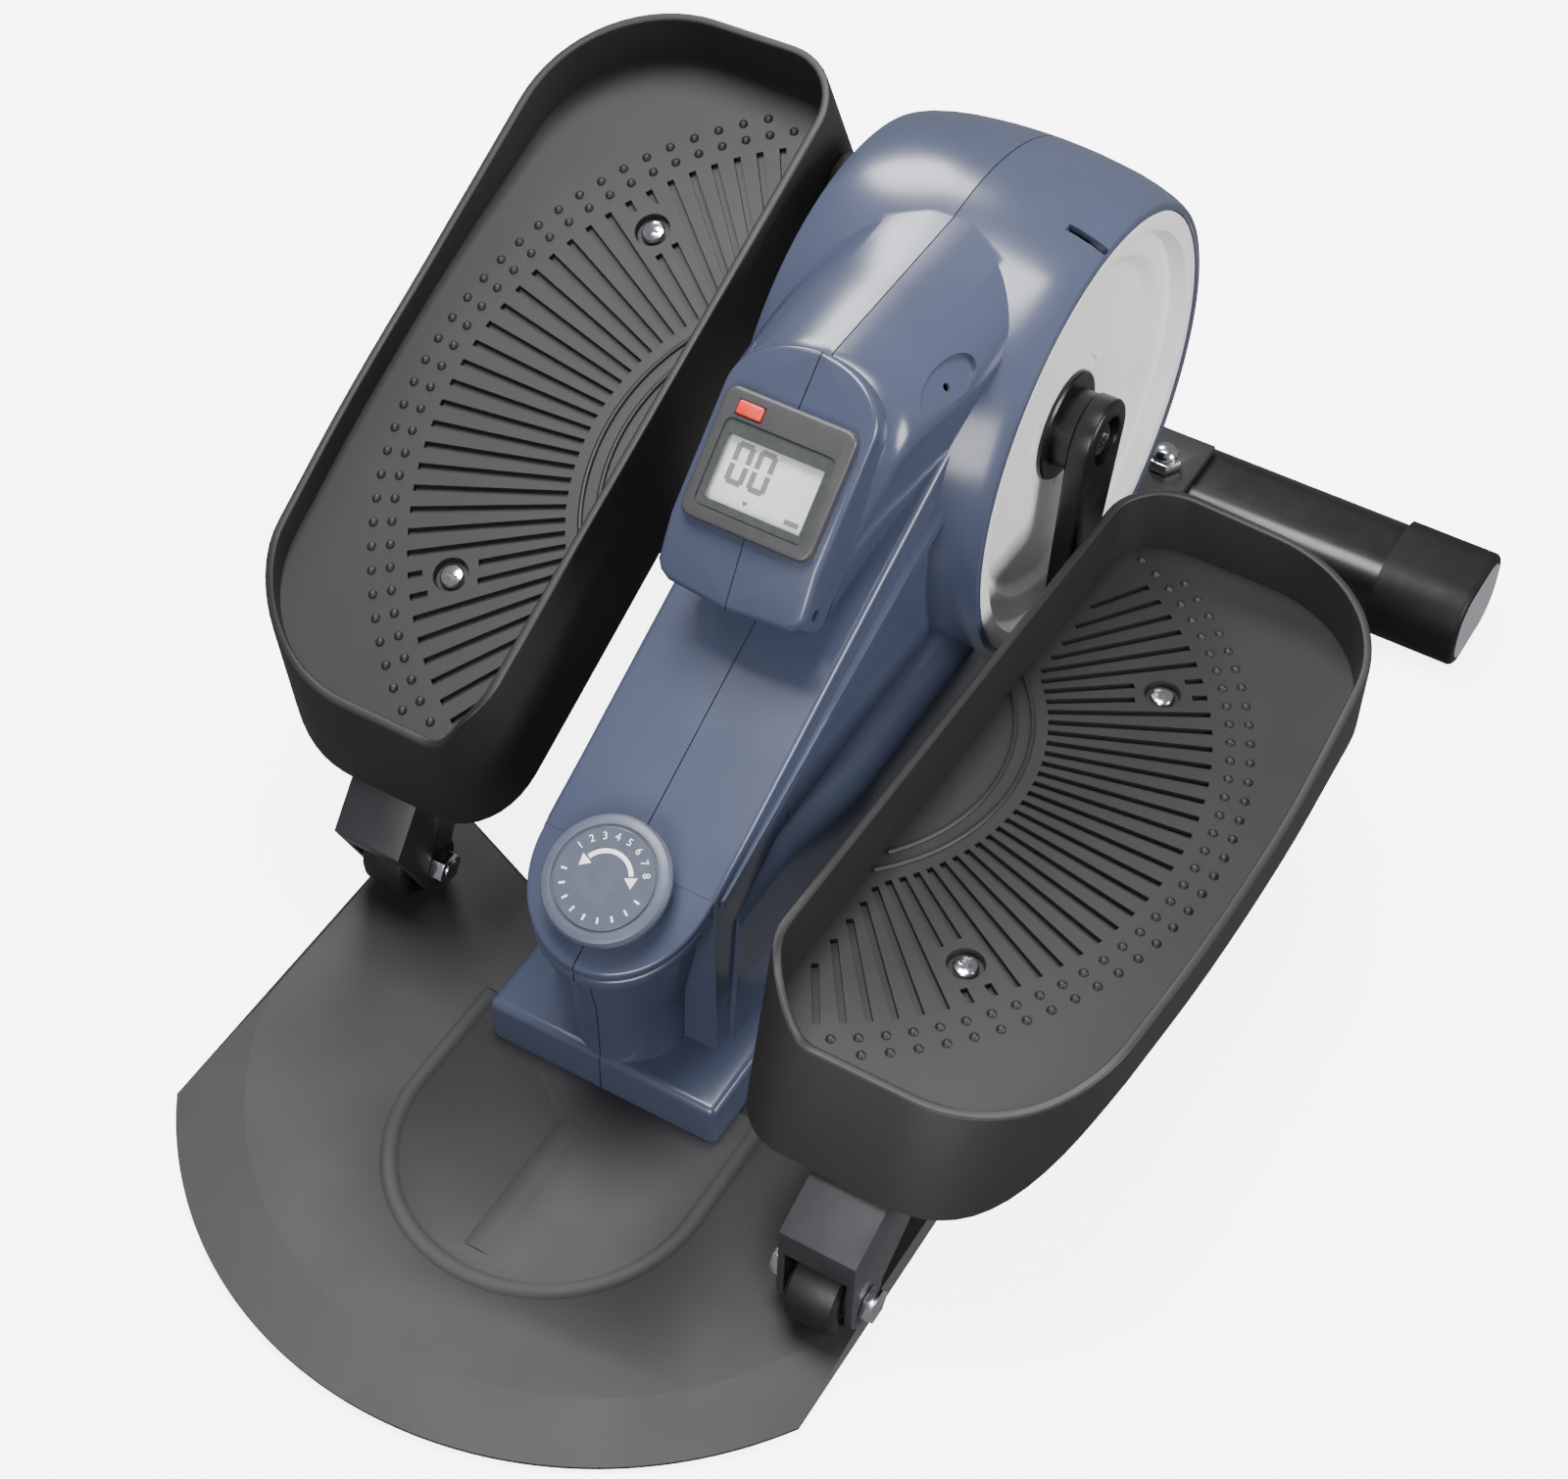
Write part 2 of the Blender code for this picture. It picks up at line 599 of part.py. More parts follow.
# Side covers: a dished disc with a bright rim and a stepped ring
def build_covers(mats):
    front = [(COVER_FACE_X, COVER_HOLE), (COVER_FACE_X, COVER_DISH_RADIUS), (COVER_STEP_X, COVER_STEP_INNER),
             (COVER_STEP_X, COVER_STEP_OUTER), (COVER_RIM_X, COVER_RIM_INNER), (COVER_RIM_X, COVER_RADIUS)]
    step, face = COVER_STEP_X - COVER_THICK, COVER_FACE_X - COVER_THICK
    back = [(step, COVER_RADIUS), (step, COVER_STEP_INNER), (face, COVER_DISH_RADIUS), (face, COVER_HOLE)]
    for side, sign in SIDES:
        points = [(sign * x, r) for x, r in front + back]
        piece("side_cover_" + side, turned(points, (1, 0, 0), (0, AXLE_Y, AXLE_Z), 48), mats["cover"])


# Console: bezel, lens, display, board and button, in the frame of the sloped face
def build_console(mats):
    face = pivot("console_frame", CONSOLE_Y, CONSOLE_Z, CONSOLE_SLOPE)
    low, high = GAP, GAP + BEZEL_THICK
    corners = [(-BEZEL_HALF_WIDTH, 0), (BEZEL_HALF_WIDTH, 0), (BEZEL_HALF_WIDTH, BEZEL_LENGTH),
               (-BEZEL_HALF_WIDTH, BEZEL_LENGTH)]
    outline = filleted(corners, [BEZEL_CORNER] * 4, [4] * 4)
    lens_edge = (WINDOW_HALF_WIDTH - GAP, WINDOW_LOW + GAP, WINDOW_HIGH - GAP)
    window = box(-WINDOW_HALF_WIDTH, WINDOW_HALF_WIDTH, WINDOW_LOW, WINDOW_HIGH, -BEZEL_THICK, 3 * BEZEL_THICK)
    key = (BUTTON_X - BUTTON_WIDTH / 2, BUTTON_X + BUTTON_WIDTH / 2, BUTTON_Y - BUTTON_DEPTH / 2,
           BUTTON_Y + BUTTON_DEPTH / 2)
    well = box(key[0] - GAP, key[1] + GAP, key[2] - GAP, key[3] + GAP, -BEZEL_THICK, 3 * BEZEL_THICK)
    piece("console_bezel", shaped(slab_z(outline, low, high), cut(window, well)), mats["bezel"], face)
    lens = box(-lens_edge[0], lens_edge[0], lens_edge[1], lens_edge[2], low + GAP, low + GAP + LENS_THICK)
    piece("console_lens", lens, mats["lens"], face)
    spread = WINDOW_HALF_WIDTH + 1.5 * MM
    lcd = box(-spread, spread, WINDOW_LOW - 1.5 * MM, WINDOW_HIGH + 1.5 * MM, -LCD_THICK, 0)
    piece("display", lcd, mats["display"], face)
    board = box(-spread, spread, WINDOW_LOW - 2.5 * MM, BEZEL_LENGTH - 5 * MM,
                -LCD_THICK - GAP - BOARD_THICK, -LCD_THICK - GAP)
    piece("console_board", board, mats["board"], face)
    place = pivot("button_frame", 0, 0, 0, 0, face)
    place.location = (BUTTON_X, BUTTON_Y, high)
    button = box(-BUTTON_WIDTH / 2, BUTTON_WIDTH / 2, -BUTTON_DEPTH / 2, BUTTON_DEPTH / 2,
                 -BEZEL_THICK * 0.7, BUTTON_PROUD)
    piece("reset_button", button, mats["button"], place)


# Tension knob, its dial label and its spindle
def build_knob(mats):
    stem = pivot("knob_frame", KNOB_Y, KNOB_Z, NECK_SLOPE)
    bore = SPINDLE_RADIUS + GAP
    floor = KNOB_HEIGHT - LABEL_THICK
    profile = [(GAP, bore), (GAP, KNOB_COLLAR_RADIUS), (KNOB_COLLAR_TOP, KNOB_COLLAR_RADIUS),
               (KNOB_COLLAR_TOP + MM, KNOB_RADIUS), (KNOB_HEIGHT - 2.5 * MM, KNOB_RADIUS),
               (KNOB_HEIGHT - 0.7 * MM, KNOB_RADIUS - 0.9 * MM), (KNOB_HEIGHT, KNOB_RADIUS - 3 * MM),
               (KNOB_HEIGHT, LABEL_RADIUS + GAP), (floor, LABEL_RADIUS + GAP), (floor, 0),
               (SPINDLE_HEAD + GAP, 0), (SPINDLE_HEAD + GAP, bore)]
    profile = profile[10:] + profile[:10]
    piece("tension_knob", turned(profile, (0, 0, 1), (0, 0, 0), 40, False), mats["knob"], stem)
    label = rod((0, 0, 1), (0, 0, 0), LABEL_RADIUS, floor + GAP, KNOB_HEIGHT + GAP, 40)
    piece("knob_label", label, mats["label"], stem)
    shaft = [(-SPINDLE_DEPTH, 0), (-SPINDLE_DEPTH, SPINDLE_RADIUS), (-CABLE_DRUM_LOW, SPINDLE_RADIUS),
             (-CABLE_DRUM_LOW, CABLE_DRUM_RADIUS), (-CABLE_DRUM_HIGH, CABLE_DRUM_RADIUS),
             (-CABLE_DRUM_HIGH, SPINDLE_RADIUS), (SPINDLE_HEAD, SPINDLE_RADIUS), (SPINDLE_HEAD, 0)]
    piece("tension_spindle", turned(shaft, (0, 0, 1), (0, 0, 0), 20, False), mats["steel"], stem)


# Frame: spine with saddle, side plates, bearings, stabilizer with caps and bolts
def stadium(depth, height, steps=8):
    radius = height / 2
    flat = (depth - height) / 2
    centre = (STABILIZER_Y, STABILIZER_Z)
    return (arc((centre[0] + flat, centre[1]), radius, -math.pi / 2, math.pi / 2, steps)
            + arc((centre[0] - flat, centre[1]), radius, math.pi / 2, 1.5 * math.pi, steps))


def build_frame(mats):
    spine = box(-SPINE_HALF_WIDTH, SPINE_HALF_WIDTH, SPINE_FRONT_Y, SADDLE_FRONT_Y + MM, BODY_FOOT, SPINE_TOP)
    top = TUBE_TOP + GAP
    post = box(-SADDLE_HALF_WIDTH, SADDLE_HALF_WIDTH, SADDLE_FRONT_Y, SADDLE_FRONT_Y + SADDLE_POST,
               BODY_FOOT, top + SADDLE_THICK)
    shelf = box(-SADDLE_HALF_WIDTH, SADDLE_HALF_WIDTH, SADDLE_FRONT_Y + 2 * MM, SADDLE_REAR_Y,
                top, top + SADDLE_THICK)
    hollow = SPINE_HALF_WIDTH - TUBE_WALL
    bore = box(-hollow, hollow, SPINE_FRONT_Y - MM, SADDLE_FRONT_Y - MM, BODY_FOOT + TUBE_WALL,
               SPINE_TOP - TUBE_WALL)
    frame = shaped(spine, join(post, shelf) + cut(bore))
    holes = [rod((0, 0, 1), (sign * NUT_X, NUT_Y, 0), BOLT_RADIUS + GAP, 0, 2 * CAP_HEIGHT, 12)
             for _, sign in SIDES]
    piece("main_frame", shaped(frame, cut(*holes)), mats["steel_dark"])
    crank_hole = (0, AXLE_Y, AXLE_Z)
    fly_hole = (0, FLYWHEEL_Y, FLYWHEEL_Z)
    outline = [(FLYWHEEL_Y - 34 * MM, BODY_FOOT + 4 * MM), (AXLE_Y + 12 * MM, BODY_FOOT + 4 * MM),
               (AXLE_Y + 30 * MM, AXLE_Z - 10 * MM), (AXLE_Y + 16 * MM, AXLE_Z + 27 * MM),
               (AXLE_Y - 16 * MM, AXLE_Z + 27 * MM), (FLYWHEEL_Y - 20 * MM, FLYWHEEL_Z + 28 * MM),
               (FLYWHEEL_Y - 34 * MM, FLYWHEEL_Z)]
    for side, sign in SIDES:
        low, high = sorted((sign * SIDE_PLATE_X, sign * (SIDE_PLATE_X + SIDE_PLATE_THICK)))
        middle = (low + high) / 2
        plate = shaped(slab_x(outline, low, high), cut(
            rod((1, 0, 0), crank_hole, BEARING_RADIUS + GAP, low - MM, high + MM, 20),
            rod((1, 0, 0), fly_hole, FLY_BEARING_RADIUS + GAP, low - MM, high + MM, 20)))
        piece("side_plate_" + side, plate, mats["steel_dark"])
        ring = tube((1, 0, 0), crank_hole, AXLE_RADIUS + GAP, BEARING_RADIUS, middle - BEARING_HALF_WIDTH,
                    middle + BEARING_HALF_WIDTH)
        piece("crank_bearing_" + side, ring, mats["steel"])
        ring = tube((1, 0, 0), fly_hole, FLY_AXLE_RADIUS + GAP, FLY_BEARING_RADIUS,
                    middle - FLY_BEARING_HALF_WIDTH, middle + FLY_BEARING_HALF_WIDTH)
        piece("flywheel_bearing_" + side, ring, mats["steel"])


def build_stabilizer(mats):
    half = STABILIZER_HALF - CAP_END - GAP
    bore = slab_x(stadium(TUBE_DEPTH - 2 * TUBE_WALL, TUBE_HEIGHT - 2 * TUBE_WALL), -2 * half, 2 * half)
    holes = [rod((0, 0, 1), (sign * NUT_X, NUT_Y, 0), BOLT_RADIUS + GAP, -CAP_HEIGHT, 2 * CAP_HEIGHT, 12)
             for _, sign in SIDES]
    pipe = shaped(slab_x(stadium(TUBE_DEPTH, TUBE_HEIGHT), -half, half), cut(bore, *holes))
    piece("rear_stabilizer", pipe, mats["tube_black"])
    for side, sign in SIDES:
        end, mouth = sign * STABILIZER_HALF, sign * (STABILIZER_HALF - CAP_LENGTH)
        levels = []
        for x, shrink in ((mouth, 0), (end - sign * 3 * MM, 0), (end - sign * MM, 0.8 * MM), (end, 3 * MM)):
            levels.append([(x, y, z) for y, z in stadium(CAP_DEPTH - 2 * shrink, CAP_HEIGHT - 2 * shrink)])
        socket = slab_x(stadium(TUBE_DEPTH + 2 * GAP, TUBE_HEIGHT + 2 * GAP),
                        *sorted((mouth - sign * CAP_LENGTH, end - sign * CAP_END)))
        piece("stabilizer_cap_" + side, shaped(rings(levels), cut(socket)), mats["cap_black"])
        base = TUBE_TOP + 2 * GAP + SADDLE_THICK
        low = STABILIZER_Z - TUBE_HEIGHT / 2 + TUBE_WALL / 2
        centre = (sign * NUT_X, NUT_Y, 0)
        nut = slab_z(hexagon(centre[:2], NUT_RADIUS), base, base + NUT_HEX_THICK)
        dome_low = base + NUT_HEX_THICK - MM
        dome_top = dome_low + NUT_DOME
        dome = turned([(dome_low, 0), (dome_low, NUT_RADIUS * 0.82),
                       (dome_low + NUT_DOME * 0.6, NUT_RADIUS * 0.68), (dome_top, NUT_RADIUS * 0.3),
                       (dome_top, 0)], (0, 0, 1), centre, 14, False)
        stud = rod((0, 0, 1), centre, BOLT_RADIUS, low, base + MM, 12)
        piece("stabilizer_bolt_" + side, shaped(nut, join(dome, stud)), mats["chrome"])


# Crank: axle, drive pulley, two arms half a turn apart and their bolts
def build_crank(mats):
    hub = pivot("crank_frame", AXLE_Y, AXLE_Z)
    x_axis, here = (1, 0, 0), (0, 0, 0)
    axle = rod(x_axis, here, AXLE_RADIUS, -AXLE_HALF_LENGTH, AXLE_HALF_LENGTH, 20)
    piece("crank_axle", axle, mats["steel"], hub)
    piece("drive_pulley", pulley(DRIVE_RADIUS, AXLE_RADIUS + GAP, here, 28), mats["pulley"], hub)
    for side, sign in SIDES:
        eye = Vector((-math.sin(CRANK_LEAN), -math.cos(CRANK_LEAN))) * CRANK_RADIUS * sign
        arm = slab_x(capsule((0, 0), CRANK_HUB_RADIUS, eye, CRANK_EYE_RADIUS, 14),
                     *sorted((sign * CRANK_ARM_INNER_X, sign * CRANK_OUTER_X)))
        root = COVER_FACE_X + GAP
        boss = turned([(sign * root, 0), (sign * root, CRANK_FLANGE_RADIUS),
                       (sign * (root + CRANK_FLANGE_THICK), CRANK_FLANGE_RADIUS),
                       (sign * (root + CRANK_FLANGE_THICK), CRANK_HUB_RADIUS - MM),
                       (sign * (CRANK_ARM_INNER_X + MM), CRANK_HUB_RADIUS - MM),
                       (sign * (CRANK_ARM_INNER_X + MM), 0)], x_axis, here, 28, False)
        bore = rod(x_axis, here, AXLE_RADIUS + GAP, *sorted((0, sign * (AXLE_HALF_LENGTH + GAP))), 20)
        mouth = sorted((sign * AXLE_HALF_LENGTH, sign * 2 * CRANK_OUTER_X))
        well = rod(x_axis, here, HUB_BOLT_WELL, *mouth, 20)
        piece("crank_arm_" + side, shaped(arm, join(boss) + cut(bore, well)), mats["crank"], hub)
        seat = sorted((sign * (AXLE_HALF_LENGTH + GAP), sign * HUB_BOLT_FACE_X))
        head = rod(x_axis, here, HUB_BOLT_RADIUS, *seat)
        piece("crank_bolt_" + side, head, mats["chrome"], hub)


def pulley(radius, bore, centre, steps):
    left, right, lip = PULLEY_LEFT_X, PULLEY_RIGHT_X, PULLEY_LIP
    seat = radius - PULLEY_FLANGE
    profile = [(left, bore), (left, radius), (left + lip, radius), (left + lip, seat),
               (right - lip, seat), (right - lip, radius), (right, radius), (right, bore)]
    return turned(profile, (1, 0, 0), centre, steps)


# Flywheel with its pulley and axle, and the belt around both pulleys
def build_flywheel(mats):
    spin = pivot("flywheel_frame", FLYWHEEL_Y, FLYWHEEL_Z)
    x_axis, here = (1, 0, 0), (0, 0, 0)
    bore = FLY_AXLE_RADIUS + GAP
    piece("flywheel", tube(x_axis, here, bore, FLYWHEEL_RADIUS, FLYWHEEL_LEFT_X, FLYWHEEL_RIGHT_X, 36),
          mats["cast"], spin)
    half = SIDE_PLATE_X + SIDE_PLATE_THICK
    piece("flywheel_axle", rod(x_axis, here, FLY_AXLE_RADIUS, -half, half), mats["steel"], spin)
    piece("flywheel_pulley", pulley(SMALL_RADIUS, bore, here, 16), mats["steel"], spin)
    low, high = PULLEY_LEFT_X + PULLEY_LIP + GAP, PULLEY_RIGHT_X - PULLEY_LIP - GAP
    loops = []
    for lift in (GAP, GAP + BELT_THICK):
        loops.append(capsule((AXLE_Y, AXLE_Z), DRIVE_RADIUS - PULLEY_FLANGE + lift,
                             (FLYWHEEL_Y, FLYWHEEL_Z), SMALL_RADIUS - PULLEY_FLANGE + lift, 22))
    belt = shaped(slab_x(loops[1], low, high), cut(slab_x(loops[0], low - MM, high + MM)))
    piece("drive_belt", belt, mats["rubber"])
    wall = SIDE_PLATE_X - GAP
    sensor = box(PULLEY_RIGHT_X + 2 * GAP, wall, AXLE_Y - 3 * SENSOR_SIZE, AXLE_Y - 2 * SENSOR_SIZE,
                 AXLE_Z - SENSOR_SIZE / 2, AXLE_Z + SENSOR_SIZE / 2)
    piece("speed_sensor", sensor, mats["bezel"])


# Magnetic brake: bracket, magnets, pin and return spring, and the cable from the knob
def build_brake(mats):
    swing = pivot("brake_frame", BRAKE_PIN_Y, BRAKE_PIN_Z)
    centre = (FLYWHEEL_Y - BRAKE_PIN_Y, FLYWHEEL_Z - BRAKE_PIN_Z)
    deg = math.radians
    outline = (arc(centre, BRAKE_INNER, deg(150), deg(232), 12)
               + arc(centre, BRAKE_INNER + BRAKE_LUG, deg(232), deg(206), 4)
               + arc(centre, BRAKE_INNER + BRAKE_BAND, deg(204), deg(150), 8))
    hole = rod((1, 0, 0), (0, 0, 0), BRAKE_PIN_RADIUS + GAP, FLYWHEEL_LEFT_X - MM, FLYWHEEL_RIGHT_X + MM, 14)
    bracket = shaped(slab_x(outline, FLYWHEEL_LEFT_X, FLYWHEEL_RIGHT_X), cut(hole))
    piece("magnet_bracket", bracket, mats["steel"], swing)
    sector = (arc(centre, BRAKE_INNER - GAP - MAGNET_THICK, deg(155), deg(195), 6)
              + arc(centre, BRAKE_INNER - GAP, deg(195), deg(155), 6))
    piece("brake_magnets", slab_x(sector, FLYWHEEL_LEFT_X, FLYWHEEL_RIGHT_X), mats["cast"], swing)
    at_pin = (0, BRAKE_PIN_Y, BRAKE_PIN_Z)
    wall = SIDE_PLATE_X - GAP
    piece("brake_pin", rod((1, 0, 0), at_pin, BRAKE_PIN_RADIUS, -wall, wall, 14), mats["steel"])
    steps = 8 * SPRING_TURNS
    start = FLYWHEEL_RIGHT_X + 2 * MM
    coil = [(start + SPRING_PITCH * i / 8, BRAKE_PIN_Y + SPRING_RADIUS * math.cos(math.pi * i / 4),
             BRAKE_PIN_Z + SPRING_RADIUS * math.sin(math.pi * i / 4)) for i in range(steps + 1)]
    print("spring: gap between turns %.2f mm" % ((SPRING_PITCH - 2 * SPRING_WIRE) / MM))
    piece("return_spring", swept("spring_path", coil, SPRING_WIRE), mats["steel"])
    inward = Vector((0, math.sin(NECK_SLOPE), -math.cos(NECK_SLOPE)))
    back = Vector((0, math.cos(NECK_SLOPE), math.sin(NECK_SLOPE)))
    leave = (Vector((0, KNOB_Y, KNOB_Z)) + inward * (CABLE_DRUM_LOW + CABLE_DRUM_HIGH) / 2
             + back * (CABLE_DRUM_RADIUS + CABLE_RADIUS / 3 + GAP))
    edge = deg(162)
    reach = BRAKE_INNER + BRAKE_BAND + 3 * GAP
    arrive = Vector((FLYWHEEL_LEFT_X / 2, FLYWHEEL_Y + reach * math.cos(edge),
                     FLYWHEEL_Z + reach * math.sin(edge)))
    sag = Vector((0, 0, 5 * MM))
    path = [leave.lerp(arrive, i / 6) - sag * math.sin(math.pi * i / 6) for i in range(7)]
    piece("tension_cable", swept("cable_path", path, CABLE_RADIUS), mats["rubber"])


def swept(name, points, radius):
    curve = bpy.data.curves.new(name, "CURVE")
    curve.dimensions = "3D"
    curve.bevel_depth = radius
    curve.bevel_resolution = 1
    curve.use_fill_caps = True
    line = curve.splines.new("POLY")
    line.points.add(len(points) - 1)
    for spot, point in zip(line.points, points):
        spot.co = (*point, 1)
    obj = bpy.data.objects.new(name, curve)
    bpy.context.collection.objects.link(obj)
    graph = bpy.context.evaluated_depsgraph_get()
    bm = bmesh.new()
    bm.from_mesh(bpy.data.meshes.new_from_object(obj.evaluated_get(graph)))
    bpy.data.objects.remove(obj, do_unlink=True)
    return finish(bm)


# Pedals: tray, arm, pivot bush, screws, roller bracket, roller and its axle
def tray_outline(sign, shrink, chin):
    """Outline of a tray, counter-clockwise for the right side, mirrored for the left."""
    inner, outer, belly = TRAY_INNER_X, TRAY_OUTER_X, TRAY_BELLY_X
    front, rear = TRAY_S - TRAY_FRONT - chin, TRAY_S + TRAY_REAR
    corners = inset([(inner, front), (outer, front), (belly, TRAY_S), (outer, rear), (inner, rear)], shrink)
    radii = [TRAY_INNER_ROUND, TRAY_OUTER_ROUND, TRAY_BELLY_ROUND, TRAY_OUTER_ROUND, TRAY_INNER_ROUND]
    points = filleted(corners, [radius - shrink for radius in radii], TRAY_STEPS)
    outline, start = [], 0
    for count in TRAY_STEPS:
        last, after = Vector(points[start + count]), Vector(points[(start + count + 1) % len(points)])
        outline += points[start:start + count + 1]
        outline += [tuple(last.lerp(after, k / TRAY_LEGS)) for k in range(1, TRAY_LEGS)]
        start += count + 1
    return [(sign * x, s) for x, s in outline]


def eased(low, high, share):
    share = min(1, max(0, share))
    return low + (high - low) * share * share * (3 - 2 * share)


def around_tray(outline, inner, outer):
    """A value for each outline point: inner (front, rear), outer (front, belly, rear)."""
    values = []
    for x, s in outline:
        along = (s - TRAY_S + TRAY_FRONT) / (TRAY_FRONT + TRAY_REAR)
        across = (abs(x) - TRAY_INNER_X) / (TRAY_OUTER_X - TRAY_INNER_X)
        across *= 1 + CORNER_DROP * eased(1, 0, along / FRONT_SHARE)
        near = inner[0] + (inner[1] - inner[0]) * along
        far = eased(outer[0], outer[1], along / FRONT_SHARE) + eased(0, outer[2] - outer[1], 2 * along - 1)
        values.append(eased(near, far, across))
    return values


def build_pedal(side, sign, mats):
    pin = Vector((-math.sin(CRANK_LEAN), -math.cos(CRANK_LEAN))) * CRANK_RADIUS * sign + Vector((AXLE_Y, AXLE_Z))
    rise = pin.y - ROLLER_Z
    roller_y = pin.x - math.sqrt(ARM_REACH ** 2 - rise ** 2)
    tilt = math.asin(rise / ARM_REACH) - TRAY_SET_ANGLE
    print("%s pedal: roller y %.5f z %.5f tilt %.4f deg" % (side, roller_y, ROLLER_Z, math.degrees(tilt)))
    carriage = pivot("carriage_" + side, roller_y, ROLLER_Z)
    frame = pivot("pedal_frame_" + side, 0, 0, tilt, 0, carriage)
    x_axis = (sign, 0, 0)
    middle = sign * PEDAL_X

    floor, under = TRAY_H, TRAY_H - TRAY_FLOOR
    low_edge = tray_outline(sign, 0, TRAY_CHIN)
    low_inside = tray_outline(sign, TRAY_WALL, TRAY_CHIN)
    rim, inside = tray_outline(sign, 0, 0), tray_outline(sign, TRAY_WALL, 0)
    under_edge = tray_outline(sign, TRAY_WALL, TRAY_CHIN * TRAY_LEAN)
    heights = around_tray(rim, (RIM_INNER_FRONT, RIM_INNER_REAR), (RIM_OUTER_FRONT, RIM_BELLY, RIM_OUTER_REAR))
    depths = around_tray(rim, (SKIRT_INNER_FRONT, SKIRT_INNER_REAR),
                         (SKIRT_OUTER_FRONT, SKIRT_BELLY, SKIRT_OUTER_REAR))
    levels = [[(x, s, under) for x, s in under_edge],
              [(x, s, floor - d) for (x, s), d in zip(low_inside, depths)],
              [(x, s, floor - d) for (x, s), d in zip(low_edge, depths)],
              [(x, s, floor + h) for (x, s), h in zip(rim, heights)],
              [(x, s, floor + h) for (x, s), h in zip(inside, heights)],
              [(x, s, floor) for x, s in inside]]
    spots = [(middle, TRAY_S + reach) for reach in (-TRAY_SCREW_SPAN, TRAY_SCREW_SPAN)]
    wells = [rod((0, 0, 1), (x, s, floor), SCREW_WELL_RADIUS, -SCREW_WELL_DEPTH, SCREW_LENGTH) for x, s in spots]
    shanks = [rod((0, 0, 1), (x, s, floor), SCREW_SHANK + GAP, -2 * TRAY_FLOOR, SCREW_LENGTH, 12)
              for x, s in spots]
    gate = rod(x_axis, (0, PIN_S, PIN_H), STUB_RADIUS + GAP, LINK_X, TRAY_INNER_X + 2 * TRAY_INNER_ROUND)
    piece("pedal_tray_" + side, shaped(rings(levels), cut(*wells, *shanks, gate)), mats["tray"], frame)

    beam = box(middle - ARM_WIDTH / 2, middle + ARM_WIDTH / 2, ARM_FRONT_S, ARM_REAR_S, ARM_LOW, ARM_TOP)
    stub = rod(x_axis, (0, PIN_S, PIN_H), STUB_RADIUS, LINK_X, PEDAL_X - ARM_WIDTH / 4)
    sockets = [rod((0, 0, 1), (x, s, ARM_TOP), SCREW_SHANK + GAP, -2 * SCREW_LENGTH / 3, SCREW_LENGTH, 12)
               for x, s in spots]
    half = ARM_WIDTH / 2 - TUBE_WALL
    bore = box(middle - half, middle + half, ARM_FRONT_S - MM, ARM_REAR_S + MM, ARM_LOW + TUBE_WALL,
               ARM_TOP - TUBE_WALL)
    arm = shaped(beam, cut(bore) + join(stub) + cut(*sockets))
    piece("pedal_arm_" + side, arm, mats["steel_dark"], frame)
    bush = tube(x_axis, (0, PIN_S, PIN_H), STUB_RADIUS + GAP, BUSH_RADIUS, LINK_X, TRAY_INNER_X - GAP)
    piece("pivot_bush_" + side, bush, mats["cap_black"], frame)
    for word, (x, s) in zip(("front", "rear"), spots):
        seat = -SCREW_WELL_DEPTH + GAP
        profile = [(seat + SCREW_HEAD_THICK, 0), (seat + SCREW_HEAD_THICK, SCREW_HEAD_RADIUS),
                   (seat, SCREW_HEAD_RADIUS), (seat, SCREW_SHANK), (-SCREW_LENGTH, SCREW_SHANK),
                   (-SCREW_LENGTH, 0)]
        screw = turned(profile, (0, 0, 1), (x, s, floor), 14, False)
        piece("tray_screw_%s_%s" % (side, word), screw, mats["chrome"], frame)

    top, half = ARM_LOW - GAP, BRACKET_WIDTH / 2
    step, shelf = ARM_FRONT_S - TRAY_CHIN + 5 * GAP, TRAY_H - SKIRT_INNER_FRONT - 4 * GAP
    front = [(step + BRACKET_LEAN, top), (step, shelf), (-BRACKET_NOSE, BRACKET_TOE)]
    outline = (front + arc((0, 0), BRACKET_NOSE, math.pi, 2 * math.pi, 10)
               + [(BRACKET_REAR, BRACKET_KNEE), (BRACKET_HEEL, shelf), (BRACKET_HEEL, top)])
    gap = half - BRACKET_SHEET
    inner = inset([(-BRACKET_NOSE, -top), (2 * BRACKET_HEEL, -top), (2 * BRACKET_HEEL, 2 * top),
                   (step + 2 * BRACKET_LEAN, 2 * top)] + front, BRACKET_SHEET)
    hollow = slab_x(inner, middle - gap, middle + gap)
    window = box(middle - gap, middle + gap, -2 * BRACKET_NOSE, 2 * BRACKET_NOSE, -top, WEB_LOW)
    bolt_hole = rod((1, 0, 0), (middle, 0, 0), ROLLER_BORE, -BRACKET_WIDTH, BRACKET_WIDTH)
    bracket = shaped(slab_x(outline, middle - half, middle + half), cut(hollow, window, bolt_hole))
    piece("roller_bracket_" + side, bracket, mats["steel_grey"], frame)

    tread, bevel = ROLLER_WIDTH / 2, 2.5 * MM
    profile = [(-tread, ROLLER_BORE), (-tread, ROLLER_RADIUS - bevel), (-tread + bevel, ROLLER_RADIUS),
               (tread - bevel, ROLLER_RADIUS), (tread, ROLLER_RADIUS - bevel), (tread, ROLLER_BORE)]
    piece("roller_" + side, turned(profile, (1, 0, 0), (middle, 0, 0), 28), mats["roller"], carriage)

